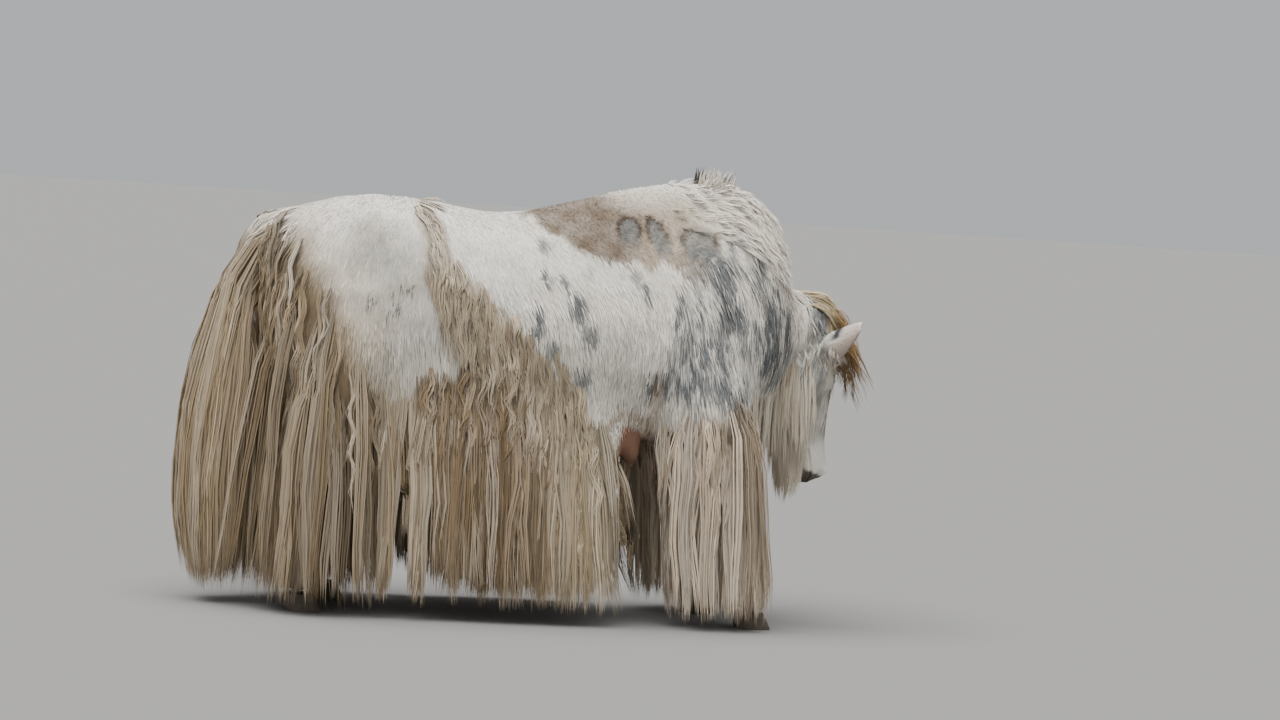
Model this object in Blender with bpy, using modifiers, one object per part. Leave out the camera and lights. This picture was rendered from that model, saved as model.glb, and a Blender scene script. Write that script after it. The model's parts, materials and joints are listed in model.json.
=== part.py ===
"""A domestic yak bull, life size, standing with its head low. Metres, +X ahead, +Y to its left, +Z up."""

import math
import random

import bmesh
import bpy
import numpy as np
from mathutils import Matrix, Vector
from mathutils.bvhtree import BVHTree

# Driving sizes of the animal, short coat included
HUMP_HEIGHT = 1.425
BODY_LENGTH = 1.695
BODY_HALF_WIDTH = 0.34
REAR_X = -0.905
HEAD_LENGTH = 0.61
EAR_LENGTH = 0.20
EYE_RADIUS = 0.019
HOOF_HEIGHT = 0.055
FOOT_Y = 0.185

# From the middle of the barrel, which the lines below start from, to the middle of the whole box
SHIFT = Vector((0.0221, 0.0032, 0.0))

# How the pieces meet
GAP = 0.0003
BODY_VOXEL = 0.02
HEAD_VOXEL = 0.0075
BODY_FACES = 2150
HEAD_FACES = 860

# The coat hangs a little ahead of plumb
HANG = Vector((0.06, 0.0, -1.0)).normalized()
COAT_FLOOR = 0.022
LOCK_SUNK = 0.03

# The head's own frame: x out of the forehead, y to the animal's left, z up the face to the poll
POLL = Vector((0.875, 0.092, 1.055))
HEAD_TURN = math.radians(22)
HEAD_TILT = math.radians(-4)
HEAD_FRAME = (
    Matrix.Translation(POLL)
    @ Matrix.Rotation(HEAD_TURN, 4, "Z")
    @ Matrix.Rotation(HEAD_TILT, 4, "Y")
)

# Torso sections from the buttocks to the breast: share of the length, then top, belly and widest level
# as shares of the hump's height, half width as a share of the body's, and how much the top narrows
TORSO = (
    (0.000, 0.770, 0.690, 0.735, 0.16, 0.00),
    (0.017, 0.830, 0.606, 0.722, 0.40, 0.00),
    (0.052, 0.880, 0.549, 0.722, 0.60, 0.02),
    (0.110, 0.908, 0.493, 0.732, 0.77, 0.04),
    (0.185, 0.925, 0.451, 0.725, 0.83, 0.06),
    (0.300, 0.920, 0.425, 0.676, 0.88, 0.08),
    (0.400, 0.905, 0.410, 0.650, 0.95, 0.10),
    (0.475, 0.905, 0.398, 0.634, 0.98, 0.12),
    (0.590, 0.946, 0.387, 0.627, 1.00, 0.28),
    (0.721, 0.985, 0.384, 0.620, 0.93, 0.45),
    (0.820, 0.999, 0.387, 0.620, 0.84, 0.52),
    (0.895, 0.992, 0.408, 0.634, 0.71, 0.48),
    (0.953, 0.950, 0.451, 0.655, 0.56, 0.38),
    (0.988, 0.885, 0.520, 0.669, 0.36, 0.20),
    (1.003, 0.800, 0.590, 0.690, 0.15, 0.00),
)

# Head sections down the face: share of the head's length, then forehead line,
# jaw line and half width in metres
HEAD = (
    (-0.025, 0.045, -0.070, 0.058),
    (0.033, 0.082, -0.120, 0.100),
    (0.150, 0.110, -0.155, 0.122),
    (0.283, 0.116, -0.168, 0.130),
    (0.367, 0.110, -0.168, 0.122),
    (0.500, 0.098, -0.152, 0.104),
    (0.633, 0.085, -0.118, 0.086),
    (0.767, 0.077, -0.092, 0.077),
    (0.883, 0.075, -0.082, 0.082),
    (0.950, 0.062, -0.072, 0.074),
    (0.992, 0.025, -0.035, 0.040),
)

# Muscles that stand out from the torso: centre, radii, and turn about Y in degrees
MUSCLES = (
    ((0.50, 0.165, 0.93), (0.22, 0.115, 0.32), -12),
    ((-0.66, 0.150, 0.93), (0.24, 0.130, 0.33), 10),
    ((-0.53, 0.215, 0.68), (0.14, 0.095, 0.22), 0),
    ((-0.58, 0.165, 1.16), (0.17, 0.100, 0.12), 0),
)

# Lines down the middle of a limb, on the right side: x, y, z and radius. The thick upper part holds the
# long hair's core, which ends half way to the tips
FORE_LIMB = (
    (0.46, -0.16, 0.88, 0.14),
    (0.49, -0.20, 0.70, 0.155),
    (0.52, -0.205, 0.56, 0.145),
    (0.56, -0.20, 0.43, 0.115),
    (0.62, -0.19, 0.31, 0.065),
    (0.655, FOOT_Y * -1, 0.20, 0.042),
    (0.668, FOOT_Y * -1, 0.125, 0.052),
    (0.685, FOOT_Y * -1, 0.04, 0.046),
)
HIND_LIMB = (
    (-0.62, -0.15, 1.00, 0.16),
    (-0.64, -0.20, 0.76, 0.165),
    (-0.69, -0.205, 0.60, 0.150),
    (-0.73, -0.20, 0.46, 0.120),
    (-0.765, -0.19, 0.33, 0.070),
    (-0.768, FOOT_Y * -1, 0.20, 0.046),
    (-0.764, FOOT_Y * -1, 0.125, 0.054),
    (-0.757, FOOT_Y * -1, 0.04, 0.048),
)
LEFT_FORE_STEP = -0.09
LEFT_HIND_STEP = 0.12
NECK_LINE = (
    (0.42, 0.0, 1.00, 0.25),
    (0.56, 0.005, 0.965, 0.225),
    (0.67, 0.030, 0.950, 0.185),
    (0.76, 0.060, 0.945, 0.160),
    (0.86, 0.095, 0.940, 0.130),
)
SKIRT_CORE = ((0.80, 0.20, 0.30), (0.62, 0.225, 0.325), (0.46, 0.245, 0.33), (0.36, 0.265, 0.315))
DOCK_LINE = (
    (-0.74, 0.0, 1.18, 0.070),
    (-0.84, 0.0, 1.205, 0.062),
    (-0.92, 0.0, 1.165, 0.055),
    (-0.965, 0.0, 1.06, 0.055),
    (-0.985, 0.0, 0.92, 0.068),
    (-1.005, 0.0, 0.76, 0.078),
    (-1.020, 0.0, 0.60, 0.065),
    (-1.025, 0.0, 0.52, 0.030),
)

# A lock's rings: how far along it each one sits after the root, and its width as a share of the widest
LOCK_STEPS = (0.15, 0.45, 0.76, 1.0)
LOCK_SHAPE = (0.40, 0.85, 1.0, 0.72)
LOCK_KEEL = 0.24

# Tiers of locks: root level, tip height, how many, and on the limbs the angles covered or the spread
SKIRT_TIERS = ((0.62, 0.03, 8), (0.74, 0.04, 7), (0.80, 0.22, 4))
FORE_TIERS = ((0.68, 0.09, 6, -25, 205), (0.56, 0.03, 5, -45, 225), (0.44, 0.03, 3, -60, 240))
HIND_TIERS = ((0.72, 0.09, 6, -25, 205), (0.58, 0.03, 5, -45, 225), (0.45, 0.03, 3, -60, 240))
TAIL_TIERS = ((1.08, 0.46, 4, 0.10), (0.95, 0.20, 4, 0.12), (0.82, 0.07, 4, 0.12), (0.70, 0.03, 5, 0.10))
# Side, level and lean or length of each lock on the head
FORELOCK = (
    (-0.07, -0.03, -0.20, 0.24), (-0.035, 0.0, -0.08, 0.30), (0.0, 0.0, 0.0, 0.33), (0.035, 0.0, 0.08, 0.30),
    (0.07, -0.03, 0.20, 0.24),
)
BEARD = ((-0.035, -0.30, 0.20), (0.035, -0.30, 0.20), (-0.02, -0.42, 0.15), (0.02, -0.46, 0.12))

# Where the body is parted
HIND_CUT_X = -0.45
FORE_CUT_X = 0.30
TAIL_CUT_X = -0.915
HIND_LEG_TOP = 0.80
FORE_LEG_TOP = 0.76
INNER_LEG_Y = 0.07
SKIRT_TOP = 0.87
SKIRT_Y = 0.20
NECK_CUT_X = 0.69
HEAD_CUT = (Vector((-0.06, 0, 0)), Vector((-0.917, 0, 0.397)))
SIDES = ((-1, "right"), (1, "left"))
OPEN_WALLS = (Vector((-9, -9, COAT_FLOOR)), Vector((9, 9, 9)))


def clear_scene():
    for obj in list(bpy.data.objects):
        bpy.data.objects.remove(obj)


def new_collection(name):
    collection = bpy.data.collections.new(name)
    bpy.context.scene.collection.children.link(collection)
    return collection


def material(name, colour, roughness):
    made = bpy.data.materials.new(name)
    made.use_nodes = True
    shader = made.node_tree.nodes["Principled BSDF"]
    shader.inputs["Base Color"].default_value = (*colour, 1.0)
    shader.inputs["Roughness"].default_value = roughness
    shader.inputs["Metallic"].default_value = 0.0
    return made


def object_of(bm, name, collection):
    mesh = bpy.data.meshes.new(name)
    bm.to_mesh(mesh)
    bm.free()
    obj = bpy.data.objects.new(name, mesh)
    collection.objects.link(obj)
    return obj


def baked(obj, name, collection):
    """A plain mesh object of what obj looks like with its modifiers, in world space. obj is removed."""
    bpy.context.view_layer.update()
    graph = bpy.context.evaluated_depsgraph_get()
    mesh = bpy.data.meshes.new_from_object(obj.evaluated_get(graph))
    mesh.transform(obj.matrix_world)
    bpy.data.objects.remove(obj)
    made = bpy.data.objects.new(name, mesh)
    collection.objects.link(made)
    return made


def smooth_through(shares, values, at):
    """Values at the given shares, on a smooth curve through the stations."""
    slopes = np.gradient(values, shares)
    i = np.clip(np.searchsorted(shares, at) - 1, 0, len(shares) - 2)
    step = shares[i + 1] - shares[i]
    t = (at - shares[i]) / step
    start = (2 * t**3 - 3 * t**2 + 1) * values[i] + (t**3 - 2 * t**2 + t) * step * slopes[i]
    end = (3 * t**2 - 2 * t**3) * values[i + 1] + (t**3 - t**2) * step * slopes[i + 1]
    return start + end


def loft(rings):
    """A closed skin through rings of equal length, with flat ends."""
    bm = bmesh.new()
    rows = [[bm.verts.new(p) for p in ring] for ring in rings]
    for low, high in zip(rows, rows[1:]):
        for i in range(len(low)):
            j = (i + 1) % len(low)
            bm.faces.new((low[i], low[j], high[j], high[i]))
    bm.faces.new(rows[0])
    bm.faces.new(rows[-1])
    bmesh.ops.recalc_face_normals(bm, faces=bm.faces)
    return bm


def torso_rings(count=34, sides=32):
    table = np.array(TORSO)
    shares = np.linspace(table[0, 0], table[-1, 0], count)
    top, belly, widest, half, pinch = (smooth_through(table[:, 0], table[:, k], shares) for k in range(1, 6))
    rings = []
    for i, share in enumerate(shares):
        ring = []
        for a in np.linspace(0, 2 * math.pi, sides, endpoint=False):
            across, up = math.cos(a), math.sin(a)
            y = half[i] * BODY_HALF_WIDTH * math.copysign(abs(across) ** 0.85, across)
            y *= 1 - pinch[i] * max(up, 0.0) ** 1.3
            reach = (top[i] - widest[i]) if up > 0 else (widest[i] - belly[i])
            z = (widest[i] + reach * up) * HUMP_HEIGHT
            ring.append((REAR_X + share * BODY_LENGTH, y, z))
        rings.append(ring)
    return rings


def head_rings(count=26, sides=28):
    table = np.array(HEAD)
    shares = np.linspace(table[0, 0], table[-1, 0], count)
    brow, jaw, half = (smooth_through(table[:, 0], table[:, k], shares) for k in range(1, 4))
    rings = []
    for i, share in enumerate(shares):
        middle = 0.45 * brow[i] + 0.55 * jaw[i]
        ring = []
        for a in np.linspace(0, 2 * math.pi, sides, endpoint=False):
            across, out = math.cos(a), math.sin(a)
            reach = (brow[i] - middle) if out > 0 else (middle - jaw[i])
            narrow = 1 - (0.12 if out > 0 else 0.30) * abs(out) ** 1.5
            y = half[i] * narrow * math.copysign(abs(across) ** 0.8, across)
            x = middle + reach * math.copysign(abs(out) ** 0.9, out)
            ring.append(HEAD_FRAME @ Vector((x, y, -share * HEAD_LENGTH)))
        rings.append(ring)
    return rings


def tube(points, radii, sides, name, collection, closed=False):
    """A round skin along points, ended flat, or joined to its own start."""
    count = len(points)
    points = [Vector(p) for p in points]
    side = None
    bm = bmesh.new()
    rings = []
    for k, point in enumerate(points):
        if closed:
            along = points[(k + 1) % count] - points[k - 1]
        else:
            along = points[min(k + 1, count - 1)] - points[max(k - 1, 0)]
        along.normalize()
        if side is None:
            side = along.orthogonal()
        side = (side - along * side.dot(along)).normalized()
        other = along.cross(side)
        turns = [2 * math.pi * j / sides for j in range(sides)]
        ring = [point + (side * math.cos(t) + other * math.sin(t)) * radii[k] for t in turns]
        rings.append([bm.verts.new(place) for place in ring])
    for low, high in zip(rings, rings[1:] + (rings[:1] if closed else [])):
        for i in range(sides):
            j = (i + 1) % sides
            bm.faces.new((low[i], low[j], high[j], high[i]))
    if not closed:
        bm.faces.new(rings[0])
        bm.faces.new(rings[-1])
    bmesh.ops.recalc_face_normals(bm, faces=bm.faces)
    return object_of(bm, name, collection)


def limb(line, name, collection, steps=4, sides=18):
    """A round limb along a smooth line through points with radii."""
    table = np.array(line)
    at = np.linspace(0, len(line) - 1, (len(line) - 1) * steps + 1)
    x, y, z, radius = (smooth_through(np.arange(len(line)), table[:, k], at) for k in range(4))
    return tube(list(zip(x, y, z)), radius, sides, name, collection)


def skirt_core(side, collection):
    """The thick of a skirt's hair, which ends half way to the tips of its locks."""
    rings = []
    for z, near, far in SKIRT_CORE:
        ring = []
        for a in np.linspace(0, 2 * math.pi, 24, endpoint=False):
            across, along = math.cos(a), math.sin(a)
            x = (HIND_CUT_X + FORE_CUT_X) / 2 - 0.01
            x += math.copysign(abs(along) ** 0.5, along) * ((FORE_CUT_X - HIND_CUT_X) / 2 - 0.05)
            y = (near + far) / 2 + math.copysign(abs(across) ** 0.7, across) * (far - near) / 2
            ring.append((x, side * y, z))
        rings.append(ring)
    return object_of(loft(rings), "core", collection)


def left_of(line, step):
    """The other side's limb: mirrored, with its foot a step ahead or behind."""
    top, low = line[0][2], line[-1][2]
    return [(x + step * (top - z) / (top - low), -y, z, r) for x, y, z, r in line]


def ellipsoid(centre, radii, turn, collection, detail=3):
    bm = bmesh.new()
    bmesh.ops.create_icosphere(bm, subdivisions=detail, radius=1.0)
    turned = Matrix.Rotation(math.radians(turn), 4, "Y")
    place = Matrix.Translation(centre) @ turned @ Matrix.Diagonal((*radii, 1.0))
    bmesh.ops.transform(bm, matrix=place, verts=bm.verts)
    return object_of(bm, "form", collection)


def melted(pieces, name, voxel, smoothing, faces, collection):
    """One smooth skin round overlapping pieces, brought down to about that many triangles."""
    bm = bmesh.new()
    for piece in pieces:
        bm.from_mesh(piece.data)
        bpy.data.objects.remove(piece)
    obj = object_of(bm, name, collection)
    remesh = obj.modifiers.new("skin", "REMESH")
    remesh.mode = "VOXEL"
    remesh.voxel_size = voxel
    smooth = obj.modifiers.new("smooth", "SMOOTH")
    smooth.iterations = smoothing
    obj = baked(obj, name, collection)
    thin = obj.modifiers.new("fewer", "DECIMATE")
    thin.ratio = min(1.0, faces / (2 * len(obj.data.polygons)))
    thin.use_collapse_triangulate = True
    return baked(obj, name, collection)


def boolean(obj, others, operation, helpers):
    """obj joined with or cut by other closed meshes, which are then removed."""
    group = bpy.data.collections.new("operands")
    bpy.context.scene.collection.children.link(group)
    for other in others:
        for owner in list(other.users_collection):
            owner.objects.unlink(other)
        group.objects.link(other)
    modifier = obj.modifiers.new(operation.lower(), "BOOLEAN")
    modifier.operation = operation
    modifier.solver = "MANIFOLD"
    modifier.operand_type = "COLLECTION"
    modifier.collection = group
    name = obj.name
    made = baked(obj, name, helpers)
    for other in others:
        bpy.data.objects.remove(other)
    bpy.data.collections.remove(group)
    return made


def volume_of(faces):
    total = 0.0
    for face in faces:
        a = face.verts[0].co
        for b, c in zip(face.verts[1:], face.verts[2:]):
            total += a.dot(b.co.cross(c.co))
    return total / 6


def keep_largest(obj):
    """Drops every closed surface but the one that holds most."""
    bm = bmesh.new()
    bm.from_mesh(obj.data)
    unseen = set(bm.faces)
    islands = []
    while unseen:
        front = [unseen.pop()]
        island = list(front)
        while front:
            for edge in front.pop().edges:
                for face in edge.link_faces:
                    if face in unseen:
                        unseen.remove(face)
                        front.append(face)
                        island.append(face)
        islands.append(island)
    best = max(islands, key=volume_of)
    loose = [face for island in islands if island is not best for face in island]
    bmesh.ops.delete(bm, geom=loose, context="FACES")
    bm.to_mesh(obj.data)
    bm.free()
    return obj


def cut_out(whole, name, planes, collection):
    """The part of a closed mesh behind every plane, half a gap short of each, with the cuts closed."""
    bm = bmesh.new()
    bm.from_mesh(whole.data)
    for point, normal in planes:
        normal = Vector(normal).normalized()
        bmesh.ops.bisect_plane(
            bm,
            geom=[*bm.verts, *bm.edges, *bm.faces],
            dist=1e-6,
            plane_co=Vector(point) - normal * (GAP / 2),
            plane_no=normal,
            clear_outer=True,
        )
        rim = [edge for edge in bm.edges if edge.is_boundary]
        if rim:
            bmesh.ops.triangle_fill(bm, use_beauty=True, use_dissolve=False, edges=rim)
    bmesh.ops.triangulate(bm, faces=bm.faces)
    bmesh.ops.recalc_face_normals(bm, faces=bm.faces)
    return keep_largest(object_of(bm, name, collection))


def block(low, high, collection):
    """A box between two corners."""
    bm = bmesh.new()
    bmesh.ops.create_cube(bm, size=1.0)
    low, high = Vector(low), Vector(high)
    place = Matrix.Translation((low + high) / 2) @ Matrix.Diagonal((*(high - low), 1.0))
    bmesh.ops.transform(bm, matrix=place, verts=bm.verts)
    return object_of(bm, "block", collection)


def part_body(body, helpers):
    """The body's nodes: thin cuts part the tail, neck, flanks and legs from the rump and shoulders."""
    behind = ((HIND_CUT_X, 0, 0), (1, 0, 0))
    ahead = ((FORE_CUT_X, 0, 0), (-1, 0, 0))
    after_hind = ((HIND_CUT_X, 0, 0), (-1, 0, 0))
    before_fore = ((FORE_CUT_X, 0, 0), (1, 0, 0))
    soles = ((0, 0, HOOF_HEIGHT), (0, 0, -1))
    neck_end, backward = HEAD_FRAME @ HEAD_CUT[0], HEAD_FRAME.to_3x3() @ HEAD_CUT[1]
    cells = {
        "rump": [behind, ((TAIL_CUT_X, 0, 0), (-1, 0, 0))],
        "shoulders": [ahead, ((NECK_CUT_X, 0, 0), (1, 0, 0))],
        "neck": [((NECK_CUT_X, 0, 0), (-1, 0, 0)), (neck_end, -backward)],
        "tail": [((TAIL_CUT_X, 0, 0), (1, 0, 0))],
        "barrel": [after_hind, before_fore],
    }
    for side, word in SIDES:
        inner = ((0, side * INNER_LEG_Y, 0), (0, -side, 0))
        cells["hind_leg_" + word] = [behind, ((0, 0, HIND_LEG_TOP), (0, 0, 1)), inner, soles]
        cells["fore_leg_" + word] = [
            ahead, ((0, 0, FORE_LEG_TOP), (0, 0, 1)), inner, soles, ((NECK_CUT_X, 0, 0), (1, 0, 0))
        ]
        cells["skirt_" + word] = [
            after_hind, before_fore, ((0, 0, SKIRT_TOP), (0, 0, 1)), ((0, side * SKIRT_Y, 0), (0, -side, 0))
        ]
    nodes = {name: cut_out(body, name, planes, helpers) for name, planes in cells.items()}
    for trunk, top, inner, first, last in (
        ("rump", HIND_LEG_TOP, INNER_LEG_Y, -1.5, HIND_CUT_X + 0.5),
        ("shoulders", FORE_LEG_TOP, INNER_LEG_Y, FORE_CUT_X - 0.5, 1.5),
        ("barrel", SKIRT_TOP, SKIRT_Y, HIND_CUT_X - 0.5, FORE_CUT_X + 0.5),
    ):
        taken = []
        for side, _ in SIDES:
            near, far = sorted((side * (inner - GAP / 2), side))
            taken.append(block((first, near, -0.1), (last, far, top + GAP / 2), helpers))
        nodes[trunk] = keep_largest(boolean(nodes[trunk], taken, "DIFFERENCE", helpers))
    return nodes


def tree_of(obj):
    bm = bmesh.new()
    bm.from_mesh(obj.data)
    tree = BVHTree.FromBMesh(bm)
    bm.free()
    return tree


def root_at(tree, start, direction):
    """Where a straight look from start first meets the surface, with its normal, or None."""
    point, normal, _, _ = tree.ray_cast(Vector(start), Vector(direction).normalized())
    if point is None:
        return None
    return point, normal


def lock(path, width, out, collection):
    """A flat lock along a path: a keeled strip that swells from its root and ends in a point."""
    bm = bmesh.new()
    rings = []
    for k, (point, share) in enumerate(zip(path, LOCK_SHAPE)):
        along = (path[k + 1] - path[max(k - 1, 0)]).normalized()
        side = along.cross(out).normalized()
        keel = side.cross(along).normalized()
        half = width * share / 2
        corners = (point + side * half, point - side * half, point + keel * (width * share * LOCK_KEEL))
        rings.append([bm.verts.new(c) for c in corners])
    tip = bm.verts.new(path[-1])
    for low, high in zip(rings, rings[1:]):
        for i in range(3):
            j = (i + 1) % 3
            bm.faces.new((low[i], low[j], high[j]))
            bm.faces.new((low[i], high[j], high[i]))
    for i in range(3):
        bm.faces.new((rings[-1][i], rings[-1][(i + 1) % 3], tip))
    bm.faces.new(rings[0])
    bmesh.ops.recalc_face_normals(bm, faces=bm.faces)
    return object_of(bm, "lock", collection)


def draped(tree, root, normal, flow, away, length, stand, sway, rng, walls):
    """A lock's path: sunk at the root, out over the skin, then along the flow, kept inside its walls."""
    low, high = walls
    out = normal + away
    out = (out - flow * out.dot(flow)).normalized()
    side = flow.cross(out).normalized()
    phase = rng.uniform(0, 2 * math.pi)
    path = [root - normal * LOCK_SUNK - flow * LOCK_SUNK]
    for t in LOCK_STEPS:
        lift = stand * min(1.0, 0.3 + 2.0 * t)
        point = root + out * lift + flow * (length * t) + side * (sway * t * math.sin(phase + 3 * t))
        near, face, _, _ = tree.find_nearest(point)
        if t < 1.0 and (point - near).dot(face) < lift:
            point = near + face * lift
        path.append(Vector([min(max(point[i], low[i]), high[i]) for i in range(3)]))
    return path, out


def clear_of(piece, trees, helpers):
    """Whether a lock, with a little room round it, meets none of the other nodes."""
    grown = swollen(piece, helpers, 2 * GAP)
    tree = tree_of(grown)
    bpy.data.objects.remove(grown)
    return not any(tree.overlap(other) for other in trees)


def coat(nodes, name, roots, rng, helpers, walls=OPEN_WALLS, others=(), stands=(0.003, 0.024)):
    """Fuses a lock at each root into a node, shortened where it would meet another node.

    A root is its look from, its look along, the way the lock flows, its length, width and sway.
    """
    tree = tree_of(nodes[name])
    trees = [tree_of(nodes[other]) for other in others]
    pieces = []
    for k, (start, look, flow, length, width, sway) in enumerate(roots):
        found = root_at(tree, start, look)
        if found is None:
            continue
        stand = stands[k % len(stands)] + rng.uniform(0, 0.004)
        away = -Vector(look).normalized()
        for share in (1.0, 0.8, 0.6, 0.45):
            path, out = draped(tree, *found, flow.normalized(), away, length * share, stand, sway, rng, walls)
            piece = lock(path, width, out, helpers)
            if clear_of(piece, trees, helpers):
                pieces.append(piece)
                break
            bpy.data.objects.remove(piece)
    nodes[name] = keep_largest(boolean(nodes[name], pieces, "UNION", helpers))


def skirt_roots(side, rng):
    """Roots of a flank's skirt, in tiers of level, tip height and count."""
    first, last = HIND_CUT_X + 0.035, FORE_CUT_X - 0.055
    roots = []
    for level, tip, count in SKIRT_TIERS:
        for k in range(count):
            x = first + (last - first) * (k + 0.5) / count + rng.uniform(-0.008, 0.008)
            z = level + rng.uniform(-0.03, 0.03)
            length = z - tip - rng.uniform(0, 0.03)
            roots.append(((x, side, z), (0, -side, 0), HANG, length, rng.uniform(0.085, 0.10), 0.012))
    return roots


def wool_roots(side, rng, count=8):
    """Roots of the felted wool left in a band from the hip down to the elbow."""
    roots = []
    for k in range(count):
        share = k / (count - 1)
        start = (-0.41 + 0.36 * share, side, 1.30 - 0.33 * share)
        flow = HANG + Vector((0.45, 0, 0))
        roots.append((start, (0, -side, -0.1), flow, rng.uniform(0.17, 0.21), 0.08, 0.01))
    return roots


def leg_roots(centre_x, side, tiers, spread, rng):
    """Roots round a leg's core in tiers: level, tip height, how many, and the angles that they cover."""
    roots = []
    for level, tip, count, first, last in tiers:
        for k in range(count):
            angle = math.radians(first + (last - first) * (k + 0.5) / count)
            aim = Vector((math.cos(angle), side * math.sin(angle), 0))
            z = level + rng.uniform(-0.03, 0.03)
            start = Vector((centre_x, side * 0.19, z)) + aim * 0.8
            length = z - tip - rng.uniform(0, 0.03)
            roots.append((start, -aim, HANG + aim * spread, length, rng.uniform(0.08, 0.095), 0.012))
    return roots


def tail_roots(rng):
    """Roots down and round the dock, so that the brush hangs as a bell."""
    roots = []
    for level, tip, count, spread in TAIL_TIERS:
        for k in range(count):
            angle = 2 * math.pi * (k + 0.5 * (level < 0.9)) / count
            aim = Vector((math.cos(angle), math.sin(angle), 0))
            start = Vector((-0.985, 0, level + rng.uniform(-0.02, 0.02))) + aim * 0.5
            flow = HANG + Vector((aim.x * spread * 0.35 - 0.05, aim.y * spread * 1.5, 0))
            length = level - tip - rng.uniform(0, 0.03)
            roots.append((start, -aim, flow, length, rng.uniform(0.08, 0.10), 0.012))
    return roots


def rump_roots(side, rng, count=3):
    """Roots of the long hair beside the tail."""
    roots = []
    for k in range(count):
        share = k / (count - 1)
        level = 1.10 - 0.12 * share + rng.uniform(-0.03, 0.03)
        start = (-1.4 + 0.35 * share, side * (0.55 + 0.35 * share), level)
        middle = Vector((-0.72, side * 0.06, start[2]))
        roots.append((start, middle - Vector(start), HANG, rng.uniform(0.20, 0.26), 0.08, 0.01))
    return roots


def mane_roots(rng):
    """Roots of the tufts that stand along the hump's front."""
    roots = []
    for k in range(6):
        share = k / 5
        side = -1 if k % 2 else 1
        start = (0.46 + 0.22 * share, side * (0.02 + 0.05 * share), 2.0)
        flow = Vector((0.75, side * 0.25, 0.30 - 0.9 * share))
        roots.append((start, (0, 0, -1), flow, rng.uniform(0.10, 0.13), 0.06, 0.006))
    return roots


def throat_roots(rng):
    """Roots of the hair that hangs from the neck."""
    roots = []
    for k in range(6):
        side = -1 if k % 2 else 1
        share = (k // 2 + 0.5) / 3
        start = (0.715 + 0.05 * share, side * 0.5, 0.90 - 0.06 * share)
        look = (0.0, -side, -0.1)
        roots.append((start, look, HANG, rng.uniform(0.24, 0.32), 0.07, 0.01))
    return roots


def head_roots(rng):
    """Roots of the forelock and of the beard, placed in the head's own frame."""
    turn = HEAD_FRAME.to_3x3()
    roots = []
    for y, z, lean, length in FORELOCK:
        start = HEAD_FRAME @ Vector((0.10 + z, y, 0.40))
        look = turn @ Vector((-0.12, 0, -1.0))
        flow = turn @ Vector((0.30, lean, -1.0))
        roots.append((start, look, flow, length + rng.uniform(-0.02, 0.02), 0.052, 0.008))
    for y, z, length in BEARD:
        start = HEAD_FRAME @ Vector((-0.5, y, z))
        roots.append((start, turn @ Vector((1, 0, 0)), HANG, length, 0.05, 0.006))
    return roots


def claw(centre, side, name, collection):
    """One claw of a hoof: a D-shaped block with a sloping front and a flat sole."""
    rings = []
    for z, scale, back in ((0.0, 1.0, 0.0), (0.02, 0.98, 0.004), (HOOF_HEIGHT - GAP, 0.80, 0.016)):
        ring = []
        for a in np.linspace(0, 2 * math.pi, 10, endpoint=False):
            length = 0.058 if math.cos(a) > 0 else 0.048
            x = centre[0] + length * scale * math.cos(a) - back
            y = centre[1] + 0.027 * scale * math.sin(a) + side * 0.002 * math.cos(a)
            ring.append((x, y, z))
        rings.append(ring)
    return object_of(loft(rings), name, collection)


def ear(side, head, name, helpers):
    """A cupped leaf with thickness, its root cut to the head's surface."""
    bm = bmesh.new()
    rows = []
    steps, across = 6, 5
    for i in range(steps + 1):
        u = i / steps
        half = 0.052 * math.sin(math.pi * (0.16 + 0.80 * u)) ** 0.8
        curl = math.radians(105 - 65 * u)
        row = []
        for j in range(across + 1):
            v = 2 * j / across - 1
            bend = curl * v
            radius = half / max(curl, 0.01) * 1.25
            out = EAR_LENGTH * (u * 1.18 - 0.18)
            x = radius * math.sin(bend)
            y = radius * (1 - math.cos(bend))
            row.append(bm.verts.new((out, x, y)))
        rows.append(row)
    for low, high in zip(rows, rows[1:]):
        for a, b, c, d in zip(low, low[1:], high[1:], high):
            bm.faces.new((a, b, c, d))
    obj = object_of(bm, name, helpers)
    shell = obj.modifiers.new("thickness", "SOLIDIFY")
    shell.thickness = 0.008
    shell.offset = 0.0
    along = Vector((0.10, side * 0.93, 0.31)).normalized()
    cup = Vector((0.80, side * 0.15, -0.55))
    cup = (cup - along * cup.dot(along)).normalized()
    width = cup.cross(along)
    turn = Matrix((along, width, cup)).transposed().to_4x4()
    obj.matrix_world = HEAD_FRAME @ Matrix.Translation((-0.02, side * 0.118, -0.135)) @ turn
    obj = baked(obj, name, helpers)
    bm = bmesh.new()
    bm.from_mesh(obj.data)
    bmesh.ops.triangulate(bm, faces=bm.faces)
    bmesh.ops.recalc_face_normals(bm, faces=bm.faces)
    bm.to_mesh(obj.data)
    bm.free()
    return keep_largest(boolean(obj, [swollen(head, helpers)], "DIFFERENCE", helpers))


def swollen(obj, helpers, by=GAP * 1.6):
    """A copy a little larger all over, to cut a neighbour clear of obj."""
    bm = bmesh.new()
    bm.from_mesh(obj.data)
    bm.normal_update()
    moves = [(vert, vert.co + vert.normal * by) for vert in bm.verts]
    for vert, place in moves:
        vert.co = place
    return object_of(bm, "cutter", helpers)


def on_head(tree, x, y, z):
    """The head's surface seen from outside, towards its middle line, at a place in the head's own frame."""
    start = HEAD_FRAME @ Vector((x * 4, y * 4, z))
    middle = HEAD_FRAME @ Vector((-0.01, 0, z))
    found = root_at(tree, start, middle - start)
    return found[0]


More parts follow.
